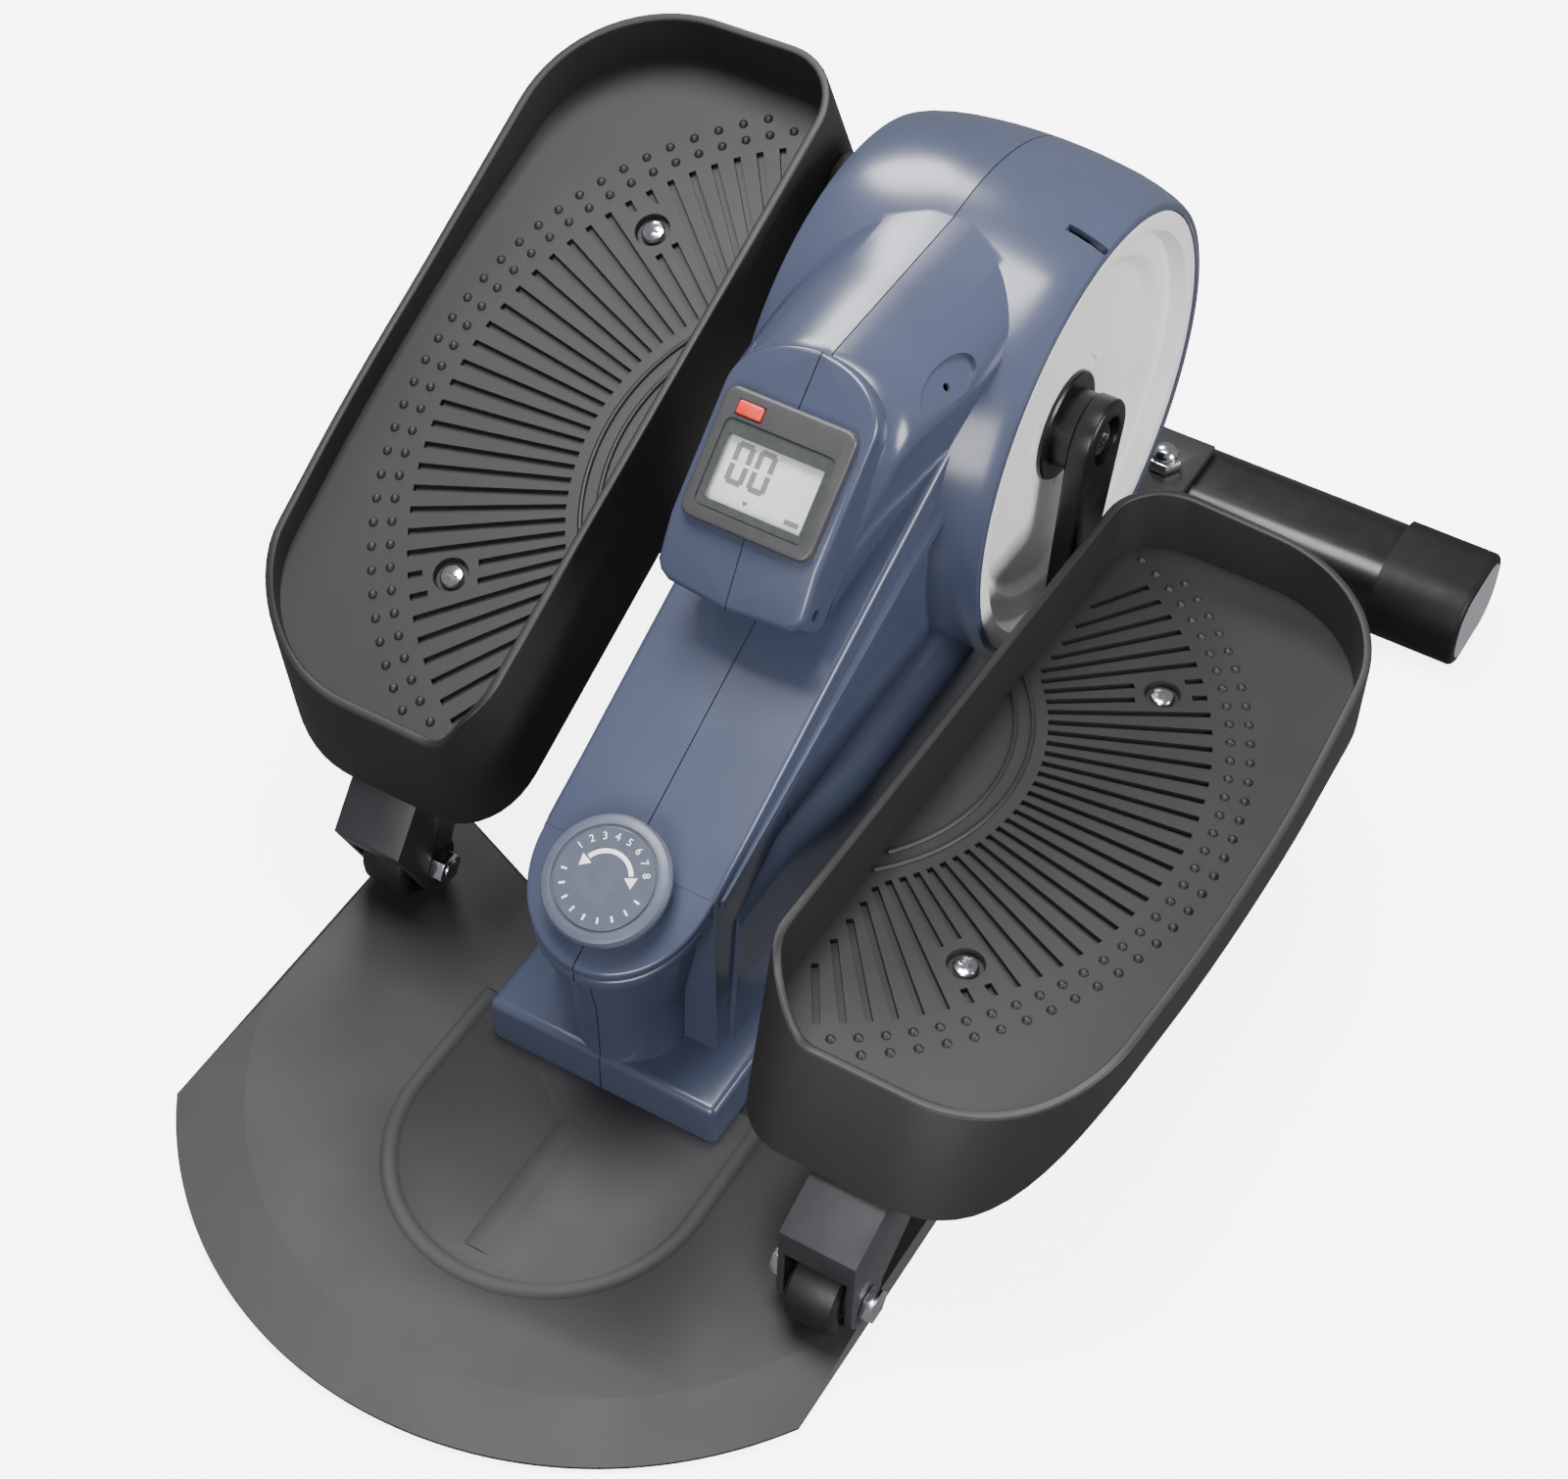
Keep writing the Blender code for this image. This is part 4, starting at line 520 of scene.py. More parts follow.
def flank(wall):
    low, top, rear = 0 if wall else FLANK_LOW, FLANK_TOP - wall, BODY_REAR - wall
    outline = [(-104 + wall, low), (rear, low), (rear, 40.5 - wall), (AXLE[0], top), (54, top),
               (-66, top - 3), (-96 + wall, 99 - wall)]
    bm = across(outline, BODY_HALF - wall)
    round_off(bm, lengthwise(bm, outline[3:]), FLANK_ROUND - wall, 6)
    for y in range(-92, -10, 8):
        bisect(bm, (0, y, 0), Y)
    for v in bm.verts:
        v.co.x *= 1 - FLANK_TAPER * ease(0, 1, (-14 - v.co.y / MM) / 84)
    return flat(bm)


def skirt(wall):
    low, top = 0 if wall else SKIRT_LOW, SKIRT_TOP - wall
    front, rear = SKIRT_FRONT + wall, BODY_REAR - wall
    bm = across([(front, low), (rear, low), (rear, top), (front, top)], BODY_HALF - wall)
    if wall:
        return bm
    rim = [e for e in bm.edges if all(v.co.z > (top - 1) * MM for v in e.verts)]
    rim = [e for e in rim if min(v.co.y for v in e.verts) < 0]
    corners = [e for e in running(bm, Z) if e.verts[0].co.y < (front + 1) * MM]
    return round_off(bm, rim + corners, 3.5, 4)


print("drum profile points:", len(DRUM_EDGE))

# %% [markdown]
# The nose is a post that widens upwards under the neck. On top of it lie three discs, sliced at the
# slope of the neck: the narrow one in the middle leaves a groove, so two rings show.

# %% Body: nose
NOSE_Y, NOSE_BORE, NOSE_ROUND = -114.0, 23.0, 1.2
NOSE_STEM = [(21, 0), (21, NOSE_BORE), (58, 24), (84, 29), (130, 35), (130, 0)]
NOSE_DISCS = ((37.4, 0.2, 3.4), (35.4, 3.2, 5.2), (37.2, 4.8, 9.2))


def sliced(bm, high, low):
    """Keep what lies between two planes that slope like the neck."""
    for depth, side in ((high, "clear_outer"), (low, "clear_inner")):
        rim = bisect(bm, Vector((0, *KNOB)) - NECK_UP * depth, NECK_UP, **{side: True})
        if rim:
            ops.edgeloop_fill(bm, edges=rim)
    return closed(bm)


def nose(wall):
    centre = (0, NOSE_Y * MM, 0)
    if wall:
        return sliced(rod(0, 153, NOSE_BORE - wall, Z, centre, 96), wall + 0.2, 200)
    discs = []
    for radius, high, low in NOSE_DISCS:
        disc = sliced(rod(40, 160, radius, Z, centre, 96), high, low)
        discs.append(round_off(disc, sharp(disc, 40), NOSE_ROUND, 4) if radius > 36 else disc)
    return joined(sliced(turned(NOSE_STEM, Z, centre, 96), 4, 200), *discs)


print("nose discs:", len(NOSE_DISCS))

# %% [markdown]
# The hood has a barrel back: seen from the front its top is half an ellipse. Where it runs into the
# round drum, the two curves meet in an arch, which a flat-topped box could not give. Its front leans
# back behind the display, and it narrows towards the front and towards its foot.

# %% Body: hood
HOOD_HALF, HOOD_TOP, HOOD_CROWN, HOOD_DROP = 43.5, 260.5, 24.0, 80.0
HOOD_REAR, HOOD_LENGTH, HOOD_ROUND = 137.7, 146.0, 9.0
HOOD_LEAN, HOOD_CORNER = Vector((0, -42.5, 28)).normalized(), Vector((0, 28, 260))
HOOD_PINCH, HOOD_FRONT = 0.6, 0.84


def hood(wall):
    bm = bmesh.new()
    arch = ops.create_circle(bm, segments=64, radius=1.0, cap_ends=True)["verts"]
    ops.scale(bm, verts=arch, vec=((HOOD_HALF - wall) * MM, (HOOD_CROWN - wall) * MM, 1))
    low = [v for v in arch if v.co.y < -1e-6]
    ops.translate(bm, verts=low, vec=(0, -HOOD_DROP * MM, 0))
    stand = Matrix.Translation((0, HOOD_REAR * MM, (HOOD_TOP - HOOD_CROWN) * MM))
    ops.transform(bm, matrix=stand @ Matrix.Rotation(math.pi / 2, 4, "X"), verts=arch)
    closed(pushed(bm, bm.faces[:], (0, wall - HOOD_LENGTH, 0)))
    rim = bisect(bm, HOOD_CORNER - HOOD_LEAN * wall, HOOD_LEAN, clear_outer=True)
    ops.edgeloop_fill(bm, edges=rim)
    if not wall:
        round_off(closed(bm), [e for e in rim if e.is_valid], HOOD_ROUND, 6)
    for y in range(0, 81, 10):
        bisect(bm, (0, y, 0), Y)
    for v in bm.verts:
        height = share((v.co.z / MM - HOOD_TOP + HOOD_CROWN + HOOD_DROP) / HOOD_DROP)
        v.co.x *= ease(HOOD_FRONT, 1, (v.co.y / MM + 8) / 90) * (HOOD_PINCH + (1 - HOOD_PINCH) * height)
    return flat(bm)


print("hood %.0f mm wide" % (2 * HOOD_HALF))

# %% [markdown]
# The pod is a thick tablet that carries the display. Its outline is drawn flat, with cut lower corners
# and a domed top, pushed through its thickness and rounded along the rim. Below the display its face
# breaks into a steeper chin, made by letting the lowest points sink. A narrower foot behind the chin
# stands on the neck.

# %% Body: pod
POD_HALF, POD_CREST, POD_SHOULDER, POD_CHIN, POD_DEPTH = 31.7, 74.0, 51.0, -27.0, 25.0
POD_BREAK, CHIN_STEEP, POD_ROUND, FOOT_HALF = -1.0, 0.3, 2.2, 25.0


def pod(wall):
    half, low, rise = POD_HALF - wall, POD_CHIN + wall, POD_CREST - POD_SHOULDER - wall
    dome = [(half * x, POD_SHOULDER + rise * y) for x, y in arc((0, 0), 1, 0, math.pi, 28)]
    corner = [(half, POD_BREAK), (half, low + 8), (half - 2, low + 4.5), (half - 6, low + 2)]
    chin = [(-x, y) for x, y in corner] + [(0, low)] + corner[::-1]
    bm = upward(dome + chin, -wall, 2 * wall - POD_DEPTH)
    face = max(bm.faces, key=lambda f: f.normal.z * f.calc_area())
    if not wall:
        round_off(bm, list(face.edges), POD_ROUND, 4)
    bisect(bm, (0, POD_BREAK, 0), Y)
    for v in bm.verts:
        if v.co.y < POD_BREAK * MM and v.co.z > -12 * MM:
            v.co.z += (v.co.y - POD_BREAK * MM) * CHIN_STEEP
    ops.transform(bm, matrix=CONSOLE_PLACE, verts=bm.verts[:])
    return flat(bm)


def pod_foot(wall):
    front = -6 + wall
    outline = [(front, slope(CONSOLE[0]) - 14), (43.2, AXLE[1]), (43.2, 252 - wall), (14, 246 - wall),
               (front, 208 - wall)]
    return across(outline, FOOT_HALF - wall)


print("pod %.1f mm wide, %.1f mm long" % (2 * POD_HALF, POD_CREST - POD_CHIN))

# %% [markdown]
# Join, hollow and split. The ledge beside the neck is one thin slanting bar, a little wider than the
# neck, so it stands out on both sides. Cut last are the knob's shaft, the display's pocket, two screw
# holes and a leaf-shaped recess on the right, the slot in the drum and the way out for the frame's
# spine. A shallow groove along the split draws the fine seam of the real housing.

# %% Body: join and split
PARTS = (neck, flank, skirt, nose, hood, pod, pod_foot)
LEDGE_LINE, LEDGE_HALF, LEDGE_FLARE = [(-108, 111.8), (84, 198), (84, 203.5), (-108, 116.6)], 39.4, 3.4
LEAF_SPOT, LEAF_LENGTH, LEAF_WIDTH, LEAF_DEPTH = (38.6, 55.0, 247.0), 36.0, 17.0, 2.2
LEAF_LEAN = math.radians(46)
SLOT_LOW, SLOT_HIGH = (39.6, AXLE[0] - 7.2, AXLE[1] + 96), (56.9, AXLE[0] - 3.4, AXLE[1] + 112)
SPINE_LOW, SPINE_HIGH = (-29.2, 205, 0), (29.2, 221, 34.8)
POCKET_LOW, POCKET_HIGH = (-22.7, 4.8, -9), (22.7, 47.5, 4)
SHAFT_RADIUS, POD_SCREW, NECK_SCREW = 4.3, (POD_HALF, -30.4, 196.4), (NECK_HALF, -58, 116)


def ledge():
    bm = across(LEDGE_LINE, 1.0)
    (front, _), (rear, _) = LEDGE_LINE[:2]
    for v in bm.verts:
        v.co.x *= LEDGE_HALF + LEDGE_FLARE * (v.co.y / MM - front) / (rear - front)
    return flat(round_off(bm, running(bm, Z), 1.0, 3))


def hull(wall, *more):
    return joined(drum(wall), *[part(wall) for part in PARTS], *more)


leaf = bmesh.new()
oval = ops.create_circle(leaf, segments=40, radius=1.0, cap_ends=True)["verts"]
ops.scale(leaf, verts=oval, vec=Vector((LEAF_WIDTH, LEAF_LENGTH, 0)) * MM / 2)
seat = Matrix.Translation(Vector(LEAF_SPOT) * MM) @ Matrix.Rotation(LEAF_LEAN, 4, "Y")
placed(pushed(leaf, leaf.faces[:], (0, 0, 20)), seat @ Matrix.Translation((0, 0, -LEAF_DEPTH * MM)))
body = cut(hull(0, ledge()), hull(WALL))
body = cut(body, drill((0, *KNOB), NECK_UP, SHAFT_RADIUS, 15),
           placed(block(POCKET_LOW, POCKET_HIGH), CONSOLE_PLACE),
           drill(POD_SCREW, X, 2.4, 6), drill(NECK_SCREW, X, 2.2, 5),
           leaf, drill(LEAF_SPOT, seat.to_3x3() @ Z, 2.4, 6),
           block(SLOT_LOW, SLOT_HIGH), block(SPINE_LOW, SPINE_HIGH))
middle = hull(SEAM_DEPTH)
for side, sign in SIDES:
    half = block(*sorted(((-sign * 300, -300, -300), (sign * SPLIT, 400, 400))))
    seam = cut(block((-SEAM, -160, -5), (SEAM, 280, 290)), middle.copy())
    shell = cut(body.copy(), half, seam)
    piece(side + "_shell_moulding", shell, "chassis", "shell", side + "_shell", smooth=24)
body.free()
middle.free()

# %% [markdown]
# A round cover closes each side of the drum. It is a dished disc with a bright rim, a shaded groove
# inside it and a flat face. It is turned in one go from its real profile, with a small round at every
# corner of the profile so that each step catches the light. Three small slots lie around its hub.

# %% Side covers
COVER = [(44.0, 18.5), (44.0, 66), (44.4, 69), (45.5, 71), (48.4, 73.4), (49.4, 75), (49.5, 77), (49.5, 83),
         (49.8, 84.6), (51, 85.4), (55, 86.4), (56.2, 87.0), (56.5, 88.2), (56.5, 94.2), (56.2, 95.2),
         (55.4, 95.5), (47, 95.5), (47, 74), (41.5, 70), (41.5, 18.5)]
DENT_REACH, DENT_HALF, DENT_RADIUS, DENT_FLOOR, DENT_ANGLES = 28.5, 4, 2.6, 42.8, (25, 145, 265)
for side, sign in SIDES:
    dents = []
    for around in map(math.radians, DENT_ANGLES):
        sine, cosine = math.sin(around), math.cos(around)
        outline = []
        for way, turn in ((-1, math.pi), (1, 0)):
            end = (AXLE[0] - DENT_REACH * cosine + way * DENT_HALF * sine,
                   AXLE[1] + DENT_REACH * sine + way * DENT_HALF * cosine)
            outline += arc(end, DENT_RADIUS, turn - around, turn - around + math.pi, 10)
        dents.append(sideways(outline, sign * DENT_FLOOR, sign * 9))
    disc = turned([(sign * x, r) for x, r in COVER], X, HUB, 128, True)
    piece("side_cover_disc_" + side, cut(disc, *dents), "chassis", "cover", "side_cover_" + side)

# %% [markdown]
# The crank is a forged black arm with a round hub, a thin flange against the cover and an eye at its
# end for the pedal pin. The arm's outline is two circles and their tangents, pushed through 10 mm and
# rounded along both rims. A plated bolt with a hexagon socket sits in the hub.

# %% Crank arms and bolts
CRANK_LEAN, CRANK_REACH, CRANK_IN, CRANK_THICK = math.radians(11), 69.5, 54, 10
HUB_RADIUS, EYE_RADIUS, WELL_RADIUS, DENT_WIDE = 18, 13, 11, 6
BOSS = ((44.3, 0), (44.3, 24), (45.6, 24), (46.5, 23.2), (46.5, 17), (55, 17), (55, 0))
BOLT = ((55.3, 0), (55.3, 9), (57.2, 9), (57.6, 8.5), (57.6, 7.4), (61.2, 7.4), (62.0, 6.6), (62.0, 0))


def tangent_outline(a, ra, b, rb, steps=20):
    heading = math.atan2(b[1] - a[1], b[0] - a[0])
    spread = math.acos((ra - rb) / math.dist(a, b))
    return (arc(b, rb, heading - spread, heading + spread, steps)
            + arc(a, ra, heading + spread, heading - spread + 2 * math.pi, steps))


def hexagon(centre, radius):
    return arc(centre, radius, 0, 5 * math.pi / 3, 5)


for side, sign in SIDES:
    reach = CRANK_REACH * sign
    eye = (AXLE[0] - math.sin(CRANK_LEAN) * reach, AXLE[1] - math.cos(CRANK_LEAN) * reach)
    arm = sideways(tangent_outline(AXLE, HUB_RADIUS, eye, EYE_RADIUS), sign * CRANK_IN, sign * CRANK_THICK)
    round_off(arm, sharp(arm, 60), 1.8, 4)
    boss = turned([(sign * x, r) for x, r in BOSS], X, HUB, 64)
    tools = (drill((0, *AXLE), X, 8.8, 55.3, 40), rod(sign * 55, sign * 80, WELL_RADIUS, X, HUB, 48),
             rod(sign * 62.4, sign * 80, DENT_WIDE, X, Vector((0, *eye)) * MM, 40))
    forged = combined(arm, [("UNION", boss)] + [("DIFFERENCE", tool) for tool in tools])
    piece("crank_arm_forged_" + side, forged, "crank", "crank", "crank_arm_" + side)
    head = turned([(sign * x, r) for x, r in BOLT], X, HUB, 48)
    head = cut(head, sideways(hexagon(AXLE, 4), sign * 58.5, sign * 10))
    piece("crank_bolt_socket_" + side, head, "crank", "chrome", "crank_bolt_" + side)

# %% [markdown]
# A foot tray is a shallow boat of black plastic. It starts as one flat face with five corners, whose
# corners are rounded with a vertex bevel. An inset makes the rim, pushing the middle down makes the
# floor, and pulling the outer edge down makes the skirt. Rim and skirt change height along the tray:
# high walls at the inner and rear sides, a low rolled edge at the front and outside.

# %% Tray: sizes and helpers
ROLLER = {"left": (-88.694, 24.3123), "right": (-178.303, -2.6851)}
ROLLER_X, ROLLER_Z = 127.6, 24.3
PIN_S, PIN_H = 312.435, 77.899
TRAY_MID, TRAY_FLOOR_H = PIN_S - 137, PIN_H + 11.8
TRAY_LOW, TRAY_HIGH, TRAY_CHIN = TRAY_MID - 150, TRAY_MID + 167, 16.0
TRAY_IN, TRAY_OUT, TRAY_BELLY, TRAY_RIM = 71.5, 197.0, 206.0, 3.6
SKIRT_DEEP, SKIRT_WALL, TRAY_FLOOR_THICK = 42, 3, 5
SCREWS = [(ROLLER_X, TRAY_MID - 83), (ROLLER_X, TRAY_MID + 83)]


def on_pedal(name, bm, side, sign, finish, *nodes):
    """Mirror a right-hand piece for the left side and tilt it with its pedal."""
    ops.scale(bm, verts=bm.verts[:], vec=(sign, 1, 1))
    y, tilt = ROLLER[side]
    place = Matrix.Translation(Vector((0, y, ROLLER_Z)) * MM) @ Matrix.Rotation(math.radians(tilt), 4, "X")
    return piece(name, placed(bm, place), "pedal_" + side, finish, *nodes)


def along_rim(v, inner, outer):
    along = (v.co.y / MM - TRAY_LOW) / (TRAY_HIGH - TRAY_LOW)
    aside = (v.co.x / MM - TRAY_IN) / (TRAY_OUT - TRAY_IN)
    aside *= 1 + 3.5 * ease(1, 0, 6 * along)
    near = inner[0] + (inner[1] - inner[0]) * along
    far = ease(outer[0], outer[1], 6 * along) + ease(0, outer[2] - outer[1], 2 * along - 1)
    return ease(near, far, aside) * MM


def pull(bm, edges, inward, height):
    """Extrude an edge loop, move it inward in plan and set each point's height."""
    ring = only(ops.extrude_edge_only(bm, edges=edges)["geom"], BMEdge)
    middle = sum((v.co for e in ring for v in e.verts), Vector()) / (2 * len(ring))
    moves = {}
    for e in ring:
        a, b = (v.co for v in e.verts)
        normal = Vector((b.y - a.y, a.x - b.x, 0)).normalized()
        normal = normal if normal.dot(middle - a) > 0 else -normal
        for v in e.verts:
            moves[v] = moves.get(v, Vector()) + normal
    for v, normal in moves.items():
        v.co += normal.normalized() * inward * MM
        v.co.z = height(v)
    return ring


print("tray %.0f mm long" % (TRAY_HIGH - TRAY_LOW))

# %% [markdown]
# The tread is a fan of narrow grooves around a point beside the tray, with two rows of small studs
# outside them and two curved ribs inside. Grooves are cut with thin blocks, each ending short of the
# inner wall and of the two screw wells.

# %% Tray: body and grooves
FAN_X, FAN_IN, FAN_OUT = 12.0, 95.0, 160.0
FAN_PLACE = Matrix.Translation(Vector((FAN_X, TRAY_MID, TRAY_FLOOR_H)) * MM)
GROOVE_STEP, GROOVE_COUNT, GROOVE_WIDTH, GROOVE_DEPTH = math.radians(3.45), 35, 2.9, 2.4
WALL_CLEAR, WELL_CLEAR = 68.5, 10.5
WELL = [(-3.2, 0), (-3.2, 7), (0.4, 7.6), (20, 7.6), (20, 0)]
CORNERS = (((TRAY_IN, TRAY_LOW), 28, 10), ((TRAY_OUT, TRAY_LOW), 56, 16), ((TRAY_BELLY, TRAY_MID), 60, 8),
           ((TRAY_OUT, TRAY_HIGH), 60, 16), ((TRAY_IN, TRAY_HIGH), 28, 10))


def tray_body():
    bm = bmesh.new()
    spots = [bm.verts.new(Vector((*corner, TRAY_FLOOR_H)) * MM) for corner, _, _ in CORNERS]
    bm.faces.new(spots)
    for spot, (_, reach, steps) in zip(spots, CORNERS):
        ops.bevel(bm, geom=[spot], offset=reach * MM, offset_type="OFFSET", segments=steps, profile=0.5,
                  affect="VERTICES", clamp_overlap=False, material=-1)
    ops.subdivide_edges(bm, edges=[e for e in bm.edges if e.calc_length() > 40 * MM], cuts=9)
    ops.inset_region(bm, faces=bm.faces[:], thickness=TRAY_RIM * MM, use_even_offset=True,
                     use_boundary=True)
    base = max(bm.faces, key=lambda f: f.calc_area())
    ring = [v for f in bm.faces if f is not base for v in f.verts]
    ops.extrude_discrete_faces(bm, faces=[base])
    for v in set(ring):
        v.co.z += along_rim(v, (30, 30), (1.5, 12, 25))
    lip = [e for e in bm.edges if e.is_boundary]
    deep = SKIRT_DEEP
    skirt = pull(bm, lip, 0, lambda v: TRAY_FLOOR_H * MM - along_rim(v, (deep, 36), (deep, 8, 10)))
    hem = pull(bm, skirt, SKIRT_WALL, lambda v: v.co.z)
    roof = pull(bm, hem, 1, lambda v: (TRAY_FLOOR_H - TRAY_FLOOR_THICK) * MM)
    ops.edgeloop_fill(bm, edges=roof)
    for v in bm.verts:
        depth = share((TRAY_FLOOR_H - v.co.z / MM) / deep)
        v.co.y -= TRAY_CHIN * MM * depth * ease(0, 1, (TRAY_LOW + 70 - v.co.y / MM) / 70)
    closed(bm)
    rim = [e for e in sharp(bm, 40) if all(v.co.z > (TRAY_FLOOR_H + 1) * MM for v in e.verts)]
    ops.bevel(bm, geom=rim, offset=0.9 * MM, offset_type="OFFSET", segments=3, profile=0.5,
              affect="EDGES", clamp_overlap=False, material=-1)
    return closed(bm)


def groove_blocks():
    bm = bmesh.new()
    for i in range(GROOVE_COUNT):
        angle = GROOVE_STEP * (i - (GROOVE_COUNT - 1) / 2)
        start = max(FAN_IN, WALL_CLEAR / math.cos(angle))
        spans = [(start, FAN_OUT)]
        for x, s in SCREWS:
            reach = (x - FAN_X) * math.cos(angle) + (s - TRAY_MID) * math.sin(angle)
            off = abs((x - FAN_X) * math.sin(angle) - (s - TRAY_MID) * math.cos(angle))
            if off < WELL_CLEAR:
                gap = math.sqrt(WELL_CLEAR ** 2 - off ** 2) + 1.5
                spans = [(start, reach - gap), (reach + gap, FAN_OUT)]
        for low, high in spans:
            if high - low < 3:
                continue
            bar = block((low, -GROOVE_WIDTH / 2, -GROOVE_DEPTH), (high, GROOVE_WIDTH / 2, GROOVE_DEPTH))
            bm.from_mesh(as_mesh(placed(bar, FAN_PLACE @ Matrix.Rotation(angle, 4, "Z"))))
    return bm


for side, sign in SIDES:
    wells = [turned(WELL, Z, Vector((*spot, TRAY_FLOOR_H)) * MM, 32) for spot in SCREWS]
    holes = [drill((*spot, TRAY_FLOOR_H), Z, 2.8, 10) for spot in SCREWS]
    gate = drill((TRAY_IN, PIN_S, PIN_H), X, 6.5, 12, 32)
    tray = cut(tray_body(), groove_blocks(), *wells, *holes, gate)
    on_pedal("foot_tray_" + side, tray, side, sign, "tray", "pedal_tray_" + side)

# %% [markdown]
# The studs and the two curved ribs of the tread are raised details, so they are added on top of the
# floor: small flattened balls, and a thin bar spun through an arc.

# %% Tray: studs and ribs
STUD_ROWS, STUD_COUNT, STUD_RADIUS, STUD_SINK = (167.0, 174.8), 38, 2.1, 0.5
STUD_X, STUD_FRONT, STUD_REAR = 84, TRAY_LOW + 9, TRAY_HIGH - 16
CURVES, CURVE_BAR, CURVE_X = (82.0, 89.0), 1.1, 64.5


def studs():
    bm = bmesh.new()
    for radius in STUD_ROWS:
        for i in range(STUD_COUNT):
            angle = GROOVE_STEP * (i - (STUD_COUNT - 1) / 2)
            x, s = FAN_X + radius * math.cos(angle), TRAY_MID + radius * math.sin(angle)
            if x < STUD_X or not STUD_FRONT < s < STUD_REAR:
                continue
            ball = ops.create_uvsphere(bm, u_segments=12, v_segments=6, radius=STUD_RADIUS * MM)
            ops.translate(bm, verts=ball["verts"], vec=Vector((x, s, TRAY_FLOOR_H - STUD_SINK)) * MM)
    for radius in CURVES:
        tip = math.acos(CURVE_X / radius)
        bar = bmesh.new()
        ops.create_circle(bar, segments=10, radius=CURVE_BAR * MM, cap_ends=True)
        start = Matrix.Rotation(-tip, 4, "Z") @ Matrix.Translation(X * radius * MM)
        ops.transform(bar, matrix=start @ Matrix.Rotation(math.pi / 2, 4, "X"), verts=bar.verts[:])
        ops.spin(bar, geom=bar.faces[:], cent=(0, 0, 0), axis=Z, angle=2 * tip, steps=32)
        bm.from_mesh(as_mesh(placed(bar, Matrix.Translation(Z * 0.2 * MM) @ FAN_PLACE)))
    return bm


for side, sign in SIDES:
    on_pedal("tread_studs_" + side, studs(), side, sign, "tray")

# %% [markdown]
# A pan-head screw with a cross recess holds each tray to its arm, front and rear. The head is turned
# as a low dome and the cross is cut with two thin blocks.

# %% Tray screws
PAN_HEAD = [(-9, 0), (-9, 2.5), (-2.9, 2.5), (-2.9, 5), (-1.6, 5), (-0.8, 4.4), (-0.3, 3), (-0.1, 1.4),
            (-0.1, 0)]
CROSS = ((2.6, 0.6, 1), (0.6, 2.6, 1))
for side, sign in SIDES:
    for word, spot in zip(("front", "rear"), SCREWS):
        spot = Vector((*spot, TRAY_FLOOR_H))
        bars = [block(spot - Vector(half), spot + Vector(half)) for half in CROSS]
        screw = cut(turned(PAN_HEAD, Z, spot * MM, 32), *bars)
        name = "%s_%s" % (side, word)
        on_pedal("pan_head_" + name, screw, side, sign, "chrome", "tray_screw_" + name)

# %% [markdown]
# The tension knob is a grey disc on a darker grip. The grip gets shallow flutes by drawing in every
# second pair of points. A thin gap runs around the dial, which lies in a low ring on top.

# %% Tension knob
KNOB_PLACE = Matrix.Translation(Vector((0, *KNOB)) * MM) @ Matrix.Rotation(NECK_ANGLE, 4, "X")
KNOB_STEPS, FLUTE = 96, 0.97
GRIP = [(0.3, 4.3), (0.3, 22), (2.2, 22), (3.0, 21.2), (8.2, 21.2), (8.2, 4.3)]
CAP = [(8.4, 0), (8.4, 24.4), (9.2, 25.5), (11.4, 25.5), (12.8, 24.6), (13.6, 22.6), (13.6, 21.0),
       (13.0, 20.7), (13.0, 20.3), (12.8, 20.3), (12.8, 0)]
DIAL_TOP = 13.9
DIAL = [(13.0, 0), (13.0, 19.9), (13.7, 19.9), (DIAL_TOP, 19.6), (DIAL_TOP, 0)]
grip = turned(GRIP, Z, (0, 0, 0), KNOB_STEPS, True)
for v in grip.verts:
    fluted = 2.6 * MM < v.co.z < 9 * MM and math.hypot(v.co.x, v.co.y) > 20 * MM
    if fluted and round(math.atan2(v.co.y, v.co.x) / (2 * math.pi / KNOB_STEPS)) % 4 < 2:
        v.co.x, v.co.y = v.co.x * FLUTE, v.co.y * FLUTE
piece("knob_grip", placed(grip, KNOB_PLACE), "knob_set", "cap_black", "tension_knob", slot="knob")
top = turned(CAP, Z, (0, 0, 0), KNOB_STEPS)
piece("knob_top_ring", placed(top, KNOB_PLACE), "knob_set", "knob")
dial = turned(DIAL, Z, (0, 0, 0), KNOB_STEPS)
piece("knob_dial", placed(dial, KNOB_PLACE), "knob_set", "label", "knob_label")

# %% [markdown]
# The dial carries white printing: a curved double arrow, short strokes and the numbers 1 to 8. Each mark
# is a very thin solid lying on the dial. The numbers come from a text object that is made a mesh first.

# %% Dial marks
INK, BOW_IN, BOW_OUT, BOW_HALF, TIP_ANGLE, MARK_RADIUS = 0.12, 9.6, 11.4, 62, 66, 16.2
NUMBER_SIZE, NUMBER_FIRST, NUMBER_STEP = 4.2, 63, 18
marks = bmesh.new()


def stamp(bm, matrix):
    marks.from_mesh(as_mesh(placed(bm, matrix)))


def on_dial(angle, radius, height=DIAL_TOP):
    return (Matrix.Translation((0, 0, height * MM)) @ Matrix.Rotation(math.radians(angle), 4, "Z")
            @ Matrix.Translation((0, radius * MM, 0)))


